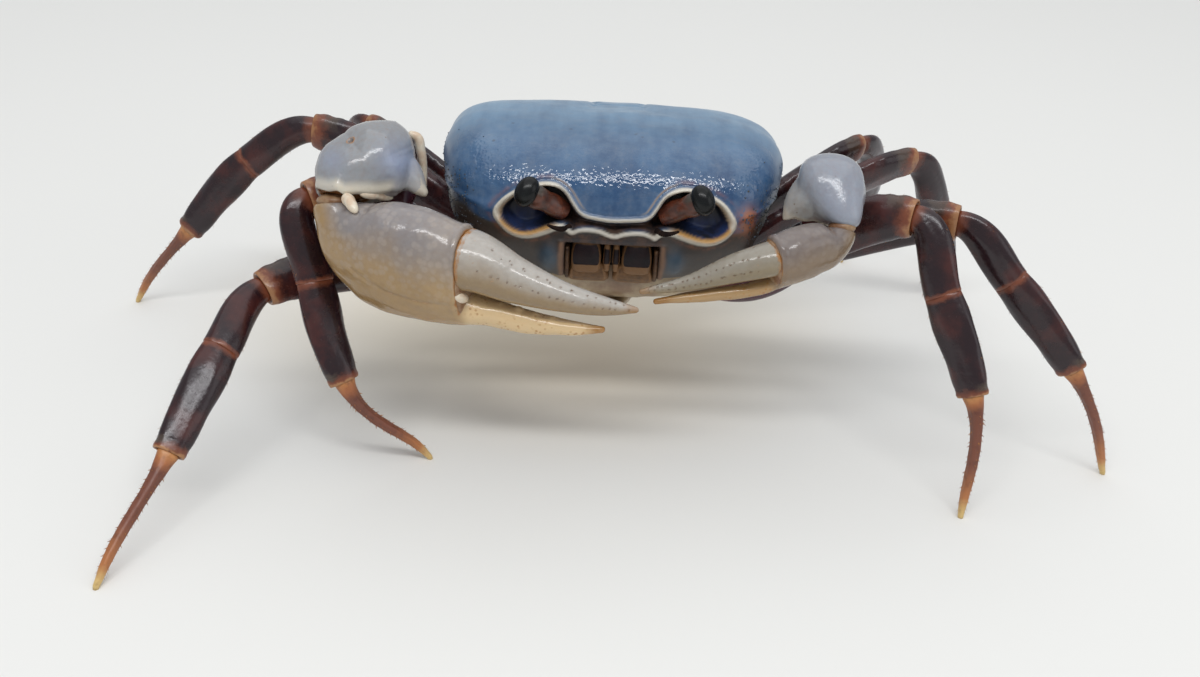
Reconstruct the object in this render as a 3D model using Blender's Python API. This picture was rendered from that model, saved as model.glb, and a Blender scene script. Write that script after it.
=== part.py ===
"""Life-size freshwater crab, Lacunipotamon albusorbitum, standing on its walking legs.

Every hard piece of the animal is one named closed solid. The crab faces -Y, its right side is -X,
+Z is up, and the floor is the plane z = 0. Sizes are in metres, written as millimetres times MM.
"""

import math
from dataclasses import dataclass

import bmesh
import bpy
from mathutils import Matrix, Vector

MM = 0.001
GAP = 0.3 * MM

# Shift that puts the middle of the bounding box over the origin.
STANCE_SHIFT = Vector((2.05, 4.18, 0.0)) * MM

# Body: a swollen shell, wider than long, pitched front end up.
SHELL_HALF_WIDTH = 16.9 * MM
SHELL_FRONT = 12.3 * MM
SHELL_REAR = 13.2 * MM
SHELL_TOP = 7.5 * MM
SHELL_UNDER = 7.9 * MM
SHELL_POWER = 2.6
SHELL_SIDE_POWER = 3.4
SHELL_REAR_TAPER = 0.06
SHELL_LOW_TAPER = 0.8
SHELL_CENTRE = Vector((0.0, -1.5, 22.0)) * MM
SHELL_PITCH = math.radians(-10.0)
SHELL_RINGS = 30
SHELL_SPOKES = 40
SHELL_FLOOR = -5.2 * MM

# The shell's shoulders: swelling height, its middle and spread across and along, in millimetres. The two
# sides differ (1 is the animal's left): share of the swelling, and how far the side draws in, high then low.
SHOULDER_SWELL = 1.15
SHOULDER_MIDDLE = (13.2, 1.0)
SHOULDER_SPREAD = (2.9, 7.5)
SHOULDER_SHARE = {1: 0.3, -1: 1.0}
SIDE_NARROWING = {1: (0.045, 0.085), -1: (0.025, 0.047)}

# Face: the front between the eyes, the two orbits and the mouth frame, as heights in the body frame.
FRONT_HALF_WIDTH = 3.0 * MM
FRONT_EDGE = 0.7 * MM
ORBIT_CENTRE = Vector((7.3, 0.0, 1.1)) * MM
ORBIT_HALF = Vector((3.5, 2.4, 2.1)) * MM
RIM_RADIUS = 0.42 * MM
RIM_STEPS = 30
MOUTH_HALF_WIDTH = 4.3 * MM
MOUTH_TOP = -1.9 * MM
MOUTH_BOTTOM = -8.0 * MM
MOUTH_BACK = -8.0 * MM
MOUTH_PLATE_OFFSET = 2.08 * MM
MOUTH_PLATE_HALF = 1.92 * MM
MOUTH_ROWS = (-2.2, -2.6, -3.5, -4.6, -5.6, -6.4)
SLOT_LOW = Vector((-4.4, -16.0, -1.1)) * MM
SLOT_HIGH = Vector((4.4, -10.4, 0.5)) * MM
NOTCH_CENTRE = Vector((4.7, -10.9, 1.0)) * MM
NOTCH_HALF = Vector((2.45, 2.35, 2.1)) * MM

# Eyes and antennae, on the animal's left side in the body frame.
STALK_BASE = Vector((4.5, -11.0, 0.65)) * MM
STALK_END = Vector((7.3, -13.05, 2.1)) * MM
STALK_ROWS = ((0.0, 0.9), (0.35, 0.98), (0.75, 0.98), (1.0, 0.95))
EYE_LENGTH = 1.4 * MM
EYE_TALL = 1.3
EYE_ROWS = ((0.0, 0.92), (0.15, 1.0), (0.4, 1.05), (0.7, 0.86), (0.9, 0.55), (1.0, 0.28))
ANTENNA_ROWS = (((3.9, -12.15, -0.6), 0.44), ((4.4, -12.85, -0.6), 0.4), ((5.0, -13.25, -0.4), 0.33),
                ((5.7, -13.3, -0.2), 0.25))
BROW_CENTRE = Vector((4.1, -12.2, -0.6)) * MM
BROW_HALF = Vector((1.2, 1.7, 0.95)) * MM

# Underside: the thorax as rows of height, half width and half depth, and the tail flap as rows of
# depth position, height, half width and half thickness, in millimetres of the body frame.
THORAX_MIDDLE = 1.4 * MM
THORAX_SOCKET = -7.2 * MM
THORAX_ROWS = ((-5.5, 10.8, 7.2), (-6.6, 11.4, 7.7), (-8.6, 11.0, 7.3), (-9.7, 9.2, 5.8))
PLEON_ROWS = ((12.2, -5.9, 5.0, 0.6), (12.4, -7.5, 4.7, 0.6), (11.0, -9.7, 4.2, 0.6),
              (8.0, -10.6, 3.8, 0.55), (3.0, -10.7, 3.0, 0.5), (-2.0, -10.7, 2.0, 0.5),
              (-5.0, -10.6, 1.1, 0.45))

SIDES = (("left", 1), ("right", -1))
DOWN = Vector((0.0, 0.0, -1.0))

# Leg rings have few sides because a scene adds the fine surface.
LEG_SIDES = 10
CLAW_SIDES = 14


def material(name, colour, roughness, metallic=0.0):
    """A Principled material with one colour."""
    made = bpy.data.materials.new(name)
    made.use_nodes = True
    shader = made.node_tree.nodes["Principled BSDF"]
    shader.inputs["Base Color"].default_value = (*colour, 1.0)
    shader.inputs["Roughness"].default_value = roughness
    shader.inputs["Metallic"].default_value = metallic
    return made


def mesh_object(name, vertices, faces, surface):
    """An object from points and faces, with its faces turned outwards."""
    mesh = bpy.data.meshes.new(name)
    mesh.from_pydata([tuple(v) for v in vertices], [], faces)
    build = bmesh.new()
    build.from_mesh(mesh)
    bmesh.ops.recalc_face_normals(build, faces=build.faces)
    build.to_mesh(mesh)
    build.free()
    mesh.materials.append(surface)
    mesh.shade_smooth()
    mesh.set_sharp_from_angle(angle=math.radians(40))
    made = bpy.data.objects.new(name, mesh)
    bpy.context.scene.collection.objects.link(made)
    return made


def ring(centre, normal, side, half_side, half_up, sides, power=2.2):
    """Points of a superellipse in the plane through centre with this normal."""
    normal = normal.normalized()
    across = (side - normal * side.dot(normal)).normalized()
    up = normal.cross(across)
    points = []
    for step in range(sides):
        angle = 2 * math.pi * (step + 0.5) / sides
        cosine, sine = math.cos(angle), math.sin(angle)
        u = math.copysign(abs(cosine) ** (2 / power), cosine)
        v = math.copysign(abs(sine) ** (2 / power), sine)
        points.append(centre + across * (half_side * u) + up * (half_up * v))
    return points


def skin_rings(rings):
    """Faces that close a stack of equal rings with a flat cap at each end."""
    sides = len(rings[0])
    faces = [list(range(sides))]
    for row in range(len(rings) - 1):
        low, high = row * sides, (row + 1) * sides
        for step in range(sides):
            after = (step + 1) % sides
            faces.append([low + step, low + after, high + after, high + step])
    last = (len(rings) - 1) * sides
    faces.append([last + step for step in range(sides)])
    return [point for one in rings for point in one], faces


def hermite(start, end, start_way, end_way, share):
    """Point and direction on the smooth curve from start to end at this share of the way."""
    s = share
    point = (
        start * (2 * s**3 - 3 * s**2 + 1)
        + start_way * (s**3 - 2 * s**2 + s)
        + end * (3 * s**2 - 2 * s**3)
        + end_way * (s**3 - s**2)
    )
    way = (
        start * (6 * s**2 - 6 * s)
        + start_way * (3 * s**2 - 4 * s + 1)
        + end * (6 * s - 6 * s**2)
        + end_way * (3 * s**2 - 2 * s)
    )
    return point, way.normalized()


def joined(name, pieces, surface):
    """One object from pieces that overlap, by a Boolean union that is then applied."""
    group = bpy.data.collections.new(name + "_pieces")
    for piece in pieces[1:]:
        group.objects.link(piece)
    whole = pieces[0]
    union = whole.modifiers.new("union", "BOOLEAN")
    union.operation = "UNION"
    union.operand_type = "COLLECTION"
    union.collection = group
    union.solver = "MANIFOLD"
    graph = bpy.context.evaluated_depsgraph_get()
    mesh = bpy.data.meshes.new_from_object(whole.evaluated_get(graph))
    for piece in pieces:
        bpy.data.objects.remove(piece)
    bpy.data.collections.remove(group)
    mesh.materials.clear()
    mesh.materials.append(surface)
    mesh.shade_smooth()
    mesh.set_sharp_from_angle(angle=math.radians(40))
    made = bpy.data.objects.new(name, mesh)
    bpy.context.scene.collection.objects.link(made)
    return made


def cut(target, cutters):
    """Takes the cutters away from the target and applies the cut."""
    for cutter in cutters:
        knife = target.modifiers.new("cut", "BOOLEAN")
        knife.operation = "DIFFERENCE"
        knife.object = cutter
        knife.solver = "MANIFOLD"
        graph = bpy.context.evaluated_depsgraph_get()
        mesh = bpy.data.meshes.new_from_object(target.evaluated_get(graph))
        target.modifiers.remove(knife)
        target.data = mesh
    for cutter in cutters:
        bpy.data.objects.remove(cutter)
    target.data.set_sharp_from_angle(angle=math.radians(40))
    return target


# The body frame


def body_place(point):
    """A point of the body frame, put where the pitched body stands."""
    return SHELL_CENTRE + STANCE_SHIFT + Matrix.Rotation(SHELL_PITCH, 3, "X") @ point


def shell_radius(way):
    """Distance from the body's centre to the shell in a direction."""
    half_width = SHELL_HALF_WIDTH
    depth = SHELL_FRONT if way.y < 0 else SHELL_REAR
    height = SHELL_TOP if way.z > 0 else SHELL_UNDER
    half_width *= 1 - SHELL_REAR_TAPER * max(way.y, 0.0) ** 2
    half_width *= 1 - SHELL_LOW_TAPER * max(-way.z, 0.0) ** 1.5
    section = abs(way.y / depth) ** SHELL_POWER + abs(way.z / height) ** SHELL_POWER
    total = abs(way.x / half_width) ** SHELL_SIDE_POWER + section ** (SHELL_SIDE_POWER / SHELL_POWER)
    return total ** (-1 / SHELL_SIDE_POWER)


def smooth_step(low, high, value):
    """0 at low, 1 at high and smooth between; low may be the larger."""
    share = min(max((value - low) / (high - low), 0.0), 1.0)
    return share * share * (3 - 2 * share)


def shell_point(way):
    """The shell's point in a direction, with its swollen shoulders."""
    point = way * shell_radius(way)
    wide, high = abs(point.x) / MM, point.z / MM
    side = 1 if point.x > 0 else -1
    upper, lower = SIDE_NARROWING[side]
    narrow = upper * smooth_step(7.0, 3.0, high) + lower * smooth_step(4.0, -0.5, high)
    point.x *= 1 - narrow * smooth_step(10.8, 16.0, wide)
    across = (abs(point.x) / MM - SHOULDER_MIDDLE[0]) / SHOULDER_SPREAD[0]
    along = (point.y / MM - SHOULDER_MIDDLE[1]) / SHOULDER_SPREAD[1]
    swell = SHOULDER_SWELL * SHOULDER_SHARE[side] * math.exp(-across * across - along * along)
    swell *= smooth_step(1.0, 4.5, high)
    return point + way * (swell * MM)


def face_point(x, z, proud=0.0):
    """The point of the shell's front face at this width and height, moved out by proud."""
    height = SHELL_TOP if z > 0 else SHELL_UNDER
    depth = SHELL_FRONT
    for _ in range(6):
        way = Vector((x, -depth, z))
        half_width = SHELL_HALF_WIDTH * (1 - SHELL_LOW_TAPER * max(-way.normalized().z, 0.0) ** 1.5)
        rest = 1 - abs(x / half_width) ** SHELL_SIDE_POWER
        section = max(rest, 0.0) ** (SHELL_POWER / SHELL_SIDE_POWER) - abs(z / height) ** SHELL_POWER
        depth = SHELL_FRONT * max(section, 0.0) ** (1 / SHELL_POWER)
    return Vector((x, -depth - proud, z))


def shell_solid(name, surface):
    """The whole shell as rings about the side-to-side axis."""
    rings = []
    for row in range(1, SHELL_RINGS):
        tilt = math.pi * row / SHELL_RINGS
        one = []
        for step in range(SHELL_SPOKES):
            turn = 2 * math.pi * step / SHELL_SPOKES
            way = Vector((-math.cos(tilt), math.sin(tilt) * math.cos(turn), math.sin(tilt) * math.sin(turn)))
            one.append(body_place(shell_point(way)))
        rings.append(one)
    vertices = [point for one in rings for point in one]
    faces = []
    for row in range(len(rings) - 1):
        low, high = row * SHELL_SPOKES, (row + 1) * SHELL_SPOKES
        for step in range(SHELL_SPOKES):
            after = (step + 1) % SHELL_SPOKES
            faces.append([low + step, low + after, high + after, high + step])
    for sign, base in ((-1, 0), (1, (len(rings) - 1) * SHELL_SPOKES)):
        pole = len(vertices)
        way = Vector((sign, 0, 0))
        vertices.append(body_place(shell_point(way)))
        for step in range(SHELL_SPOKES):
            faces.append([pole, base + step, base + (step + 1) % SHELL_SPOKES])
    return mesh_object(name, vertices, faces, surface)


def box_cutter(name, low, high, surface):
    """A box of the body frame, used to cut."""
    corners = [
        body_place(Vector((x, y, z)))
        for x in (low.x, high.x)
        for y in (low.y, high.y)
        for z in (low.z, high.z)
    ]
    faces = [[0, 1, 3, 2], [4, 6, 7, 5], [0, 4, 5, 1], [2, 3, 7, 6], [0, 2, 6, 4], [1, 5, 7, 3]]
    return mesh_object(name, corners, faces, surface)


def ellipsoid(name, centre, half, surface, turn=None, segments=20, rows=12):
    """An ellipsoid of the body frame."""
    turn = turn or Matrix.Identity(3)
    build = bmesh.new()
    bmesh.ops.create_uvsphere(build, u_segments=segments, v_segments=rows, radius=1.0)
    points = []
    for vertex in build.verts:
        scaled = Vector((vertex.co.x * half.x, vertex.co.y * half.y, vertex.co.z * half.z))
        points.append(body_place(centre + turn @ scaled))
    faces = [[v.index for v in face.verts] for face in build.faces]
    build.free()
    return mesh_object(name, points, faces, surface)


def mirrored(point, sign):
    """The same point on the chosen side of the body."""
    return Vector((sign * point.x, point.y, point.z))


def spine_normals(points):
    """Directions along a line of points, from each point's neighbours."""
    normals = []
    for index in range(len(points)):
        before = points[max(index - 1, 0)]
        after = points[min(index + 1, len(points) - 1)]
        normals.append((after - before).normalized())
    return normals


def body_loft(name, rows, side, sides, surface, power=2.0, along=None):
    """A loft through rows of centre, half width and half depth, given in the body frame."""
    points = [row[0] for row in rows]
    normals = spine_normals(points)
    if along is not None:
        normals = [along] * len(points)
    rings = []
    for (point, half_side, half_up), normal in zip(rows, normals):
        one = ring(point, normal, side, half_side, half_up, sides, power)
        rings.append([body_place(p) for p in one])
    return mesh_object(name, *skin_rings(rings), surface)


def orbit_curve(sign, steps):
    """The orbit's edge on the face, once round."""
    curve = []
    for step in range(steps):
        angle = 2 * math.pi * step / steps
        x = ORBIT_CENTRE.x + ORBIT_HALF.x * math.cos(angle)
        z = ORBIT_CENTRE.z + ORBIT_HALF.z * math.sin(angle)
        curve.append(face_point(sign * x, z))
    return curve


def closed_tube(name, curve, radius, sides, surface):
    """A tube of one radius along a closed curve of the body frame."""
    count = len(curve)
    vertices = []
    for step, point in enumerate(curve):
        way = (curve[(step + 1) % count] - curve[step - 1]).normalized()
        out = Vector((0, -1, 0))
        vertices += [body_place(p) for p in ring(point, way, out, radius, radius, sides, power=2.0)]
    faces = []
    for step in range(count):
        low, high = step * sides, ((step + 1) % count) * sides
        for side in range(sides):
            after = (side + 1) % sides
            faces.append([low + side, low + after, high + after, high + side])
    return mesh_object(name, vertices, faces, surface)


def make_carapace(surface):
    """The upper shell and face, with its orbits, mouth frame and rims."""
    shell = shell_solid("shell", surface)
    rims = []
    for sign in (-1, 1):
        rims.append(closed_tube("rim", orbit_curve(sign, RIM_STEPS), RIM_RADIUS, 6, surface))
    edge = [face_point(FRONT_HALF_WIDTH * share, FRONT_EDGE) for share in (-1.25, -0.6, 0.0, 0.6, 1.25)]
    rows = [(point, RIM_RADIUS, RIM_RADIUS) for point in edge]
    rims.append(body_loft("front_rim", rows, Vector((0, -1, 0)), 6, surface))
    whole = joined("carapace", [shell, *rims], surface)
    cutters = []
    for sign in (-1, 1):
        centre = face_point(sign * ORBIT_CENTRE.x, ORBIT_CENTRE.z)
        cutters.append(ellipsoid("orbit", centre, ORBIT_HALF * 0.96, surface))
        notch = Vector((sign * NOTCH_CENTRE.x, NOTCH_CENTRE.y, NOTCH_CENTRE.z))
        cutters.append(ellipsoid("notch", notch, NOTCH_HALF, surface, segments=16, rows=10))
        brow = Vector((sign * BROW_CENTRE.x, BROW_CENTRE.y, BROW_CENTRE.z))
        cutters.append(ellipsoid("brow", brow, BROW_HALF, surface, segments=12, rows=8))
    cutters.append(box_cutter("slot", SLOT_LOW, SLOT_HIGH, surface))
    mouth_low = Vector((-MOUTH_HALF_WIDTH, -18.0 * MM, MOUTH_BOTTOM - 2 * MM))
    mouth_high = Vector((MOUTH_HALF_WIDTH, MOUTH_BACK, MOUTH_TOP))
    cutters.append(box_cutter("mouth", mouth_low, mouth_high, surface))
    floor_low = Vector((-20, -9.6, -12)) * MM
    floor_high = Vector((20, 20, 0)) * MM
    floor_high.z = SHELL_FLOOR
    cutters.append(box_cutter("floor", floor_low, floor_high, surface))
    return cut(whole, cutters)


def make_mouthparts(surface):
    """The two outer mouth plates that close the mouth frame."""
    for side_name, sign in SIDES:
        rows = []
        for z in MOUTH_ROWS:
            height = z * MM
            front = face_point(sign * 2.1 * MM, height).y
            back = MOUTH_BACK - GAP
            centre = Vector((sign * MOUTH_PLATE_OFFSET, (front + back) / 2, height))
            rows.append((centre, MOUTH_PLATE_HALF, (back - front) / 2))
        body_loft("maxilliped_" + side_name, rows, Vector((1, 0, 0)), 12, surface, power=5.0, along=DOWN)


def make_eyes(stalk_surface, eye_surface):
    """The eyestalks, each with its cornea at the outer end."""
    for side_name, sign in SIDES:
        base = mirrored(STALK_BASE, sign)
        end = mirrored(STALK_END, sign)
        way = (end - base).normalized()
        out = Vector((0, -1, 0))
        rows = []
        for share, radius in STALK_ROWS:
            rows.append((base.lerp(end, share), radius * MM, radius * MM))
        body_loft("eyestalk_" + side_name, rows, out, 12, stalk_surface, along=way)
        rows = []
        for share, radius in EYE_ROWS:
            centre = end + way * (GAP + share * EYE_LENGTH)
            rows.append((centre, radius * MM, radius * MM * EYE_TALL))
        body_loft("eye_" + side_name, rows, out, 12, eye_surface, along=way)


def make_antennae(surface):
    """A short antenna beside each orbit."""
    for side_name, sign in SIDES:
        rows = []
        for point, radius in ANTENNA_ROWS:
            rows.append((mirrored(Vector(point) * MM, sign), radius * MM, radius * MM))
        body_loft("antenna_" + side_name, rows, Vector((0, -1, 0)), 8, surface)


def make_thorax(surface):
    """The underside plate with a socket stub for every limb."""
    rows = []
    for z, half_width, half_depth in THORAX_ROWS:
        rows.append((Vector((0, THORAX_MIDDLE, z * MM)), half_width * MM, half_depth * MM))
    pieces = [body_loft("thorax", rows, Vector((1, 0, 0)), 24, surface, power=3.0, along=DOWN)]
    for side_name, sign in SIDES:
        for number in (1, 2, 3, 4):
            joints = leg_joints(LEG_SIZES[number - 1], LEG_POSES[(side_name, number)], sign)
            way = (joints[1] - joints[0]).normalized()
            scale = LEG_SIZES[number - 1].stout
            pieces.append(stub(joints[0], way, leg_side(joints), 1.3 * scale, 1.0 * scale, surface))
        claw = CLAWS[side_name]
        start = Vector(claw.hip) * MM + STANCE_SHIFT
        way = Vector(claw.hip_way).normalized()
        half_up, half_side = claw.merus_rows[0][1:]
        pieces.append(stub(start, way, Vector((0, 1, 0)), half_up, half_side, surface))
    return joined("thorax", pieces, surface)


def stub(hip, way, side, half_up, half_side, surface):
    """The fixed root article that a limb's first joint face meets."""
    centre = body_place(Vector((0, THORAX_MIDDLE, THORAX_SOCKET)))
    inner = hip.lerp(centre, 0.42)
    rings = []
    for share in (0.0, 0.5, 1.0):
        end = hip - way * (GAP / 2)
        point, along = hermite(inner, end, (hip - inner) * 0.8, way * (hip - inner).length, share)
        if share == 1.0:
            along = way
        rings.append(ring(point, along, side, half_side * MM, half_up * MM, LEG_SIDES))
    return mesh_object("stub", *skin_rings(rings), surface)


def make_pleon(surface):
    """The narrow tail flap, folded under from behind."""
    rows = []
    for y, z, half_width, half_thick in PLEON_ROWS:
        rows.append((Vector((0, y, z)) * MM, half_width * MM, half_thick * MM))
    return body_loft("pleon", rows, Vector((1, 0, 0)), 16, surface, power=3.0)


# Walking legs


@dataclass(frozen=True)
class LegSize:
    """Lengths and depths of one pair of walking legs, in millimetres."""

    hip: tuple
    merus: float
    carpus: float
    propodus: float
    dactylus: float
    stout: float = 1.0


@dataclass(frozen=True)
class LegPose:
    """Heading and lift of each segment in degrees; the last lift follows from the floor."""

    merus: tuple
    carpus: tuple
    propodus: tuple
    dactylus: float


LEG_SIZES = (
    LegSize(hip=(12.5, -5.0, 15.0), merus=18.4, carpus=7.4, propodus=9.5, dactylus=11.8),
    LegSize(hip=(13.0, -1.0, 14.0), merus=22.4, carpus=7.3, propodus=10.5, dactylus=12.7),
    LegSize(hip=(12.5, 3.0, 13.6), merus=21.4, carpus=8.3, propodus=10.8, dactylus=12.8),
    LegSize(hip=(11.5, 7.0, 12.8), merus=18.2, carpus=6.9, propodus=8.8, dactylus=10.8, stout=0.95),
)

LEG_POSES = {
    ("right", 1): LegPose(merus=(-160, 27.3), carpus=(-75, -61), propodus=(-55, -56), dactylus=7),
    ("left", 1): LegPose(merus=(-20, 31.4), carpus=(-53, -50), propodus=(-54, -54), dactylus=-86),
    ("right", 2): LegPose(merus=(-150, 2), carpus=(-112, -23), propodus=(-109, -32), dactylus=-109),
    ("left", 2): LegPose(merus=(-22, 25), carpus=(-24, -38), propodus=(-23, -46), dactylus=-7),
    ("right", 3): LegPose(merus=(165, 24), carpus=(180, -29), propodus=(-176, -48), dactylus=171),
    ("left", 3): LegPose(merus=(21, 21), carpus=(35, -50), propodus=(50, -58), dactylus=82),
    ("left", 4): LegPose(merus=(25, 27), carpus=(60, -35), propodus=(75, -50), dactylus=115),
    ("right", 4): LegPose(merus=(155, 25), carpus=(120, -35), propodus=(105, -50), dactylus=95),
}

# Share of the way along, half depth and half thickness of each segment, in millimetres.
MERUS_RINGS = ((0.0, 1.25, 0.95), (0.1, 1.5, 1.05), (0.25, 1.95, 1.2), (0.55, 2.25, 1.3), (0.88, 2.0, 1.2),
               (1.0, 1.7, 1.1))
CARPUS_RINGS = ((0.0, 1.2, 0.85), (0.3, 1.45, 1.05), (0.72, 1.7, 1.15), (1.0, 1.66, 1.08))
PROPODUS_RINGS = ((0.0, 1.6, 1.0), (0.22, 1.78, 1.05), (0.6, 1.62, 0.98), (0.93, 1.42, 0.88),
                  (1.0, 1.3, 0.82))
DACTYLUS_RINGS = ((0.0, 1.0, 0.7), (0.1, 0.68, 0.55), (0.25, 0.52, 0.46), (0.6, 0.46, 0.4),
                  (0.9, 0.35, 0.33))
FOOT_HALF_WIDTH = 0.3 * MM


def way_of(heading, lift):
    """Unit vector from a heading about +Z and a lift above the floor, in degrees."""
    h, e = math.radians(heading), math.radians(lift)
    return Vector((math.cos(e) * math.cos(h), math.cos(e) * math.sin(h), math.sin(e)))


def leg_joints(size, pose, sign):
    """The five joint centres of a leg, from its root to its foot on the floor."""
    joints = [Vector((sign * size.hip[0], size.hip[1], size.hip[2])) * MM + STANCE_SHIFT]
    for length, aim in ((size.merus, pose.merus), (size.carpus, pose.carpus), (size.propodus, pose.propodus)):
        joints.append(joints[-1] + way_of(*aim) * (length * MM))
    drop = joints[-1].z / (size.dactylus * MM)
    lift = -math.degrees(math.asin(min(drop, 0.98)))
    foot = joints[-1] + way_of(pose.dactylus, lift) * (size.dactylus * MM)
    foot.z = 0.0
    joints.append(foot)
    return joints


def segment(name, start, end, start_face, end_face, side, rows, surface, bend, scale=1.0, tip=False):
    """One leg segment as a curved loft between the two joint faces."""
    span = (end - start).length
    begin = start + start_face * (GAP / 2)
    finish = end if tip else end - end_face * (GAP / 2)
    rings = []
    for share, half_up, half_side in rows:
        point, way = hermite(begin, finish, start_face * span * bend[0], end_face * span * bend[1], share)
        if share == 0.0:
            way = start_face
        if share == 1.0:
            way = end_face
        rings.append(ring(point, way, side, half_side * MM * scale, half_up * MM * scale, LEG_SIDES))
    if tip:
        down = Vector((0, 0, -1))
        rings.append(ring(finish, down, side, FOOT_HALF_WIDTH, FOOT_HALF_WIDTH, LEG_SIDES))
    return mesh_object(name, *skin_rings(rings), surface)


def leg_side(joints):
    """The direction across the plane of a leg."""
    return (joints[1] - joints[0]).cross(joints[4] - joints[1]).normalized()


def make_leg(side_name, number, surface, foot_surface):
    """The four nodes of one walking leg."""
    size = LEG_SIZES[number - 1]
    pose = LEG_POSES[(side_name, number)]
    sign = -1 if side_name == "right" else 1
    joints = leg_joints(size, pose, sign)
    hip, knee, wrist, ankle, foot = joints
    ways = [(b - a).normalized() for a, b in ((hip, knee), (knee, wrist), (wrist, ankle), (ankle, foot))]
    side = leg_side(joints)
    faces = [
        ways[0],
        (ways[0] * 0.62 + ways[1] * 0.38).normalized(),
        (ways[1] + ways[2]).normalized(),
        (ways[2] * 0.75 + ways[3] * 0.25).normalized(),
    ]
    stem = f"leg_{side_name}_{number}"
    scale = size.stout
    segment(stem + "_merus", hip, knee, faces[0], faces[1], side, MERUS_RINGS, surface, (0.9, 0.7), scale)
    segment(stem + "_carpus", knee, wrist, faces[1], faces[2], side, CARPUS_RINGS, surface, (1.0, 1.0), scale)
    segment(stem + "_propodus", wrist, ankle, faces[2], faces[3], side, PROPODUS_RINGS, surface,
            (1.0, 1.0), scale)
    down = (ways[3] + Vector((0, 0, -0.5))).normalized()
    segment(stem + "_dactylus", ankle, foot, faces[3], down, side, DACTYLUS_RINGS, foot_surface,
            (1.2, 1.0), scale, tip=True)


# Claws


@dataclass(frozen=True)
class Claw:
    """One claw limb: joint centres, joint directions and rows of centre, half height, half thickness."""

    hip: tuple
    hip_way: tuple
    elbow: tuple
    elbow_way: tuple
    wrist: tuple
    wrist_way: tuple
    merus_rows: tuple
    carpus_rows: tuple
    carpus_ends: tuple
    palm_rows: tuple
    palm_start: tuple
    finger_way: tuple
    heel_rows: tuple
    fixed_rows: tuple
    finger_rows: tuple
    tooth: tuple
    tooth_base: tuple
    tooth_radius: float
    sign: int


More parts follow.
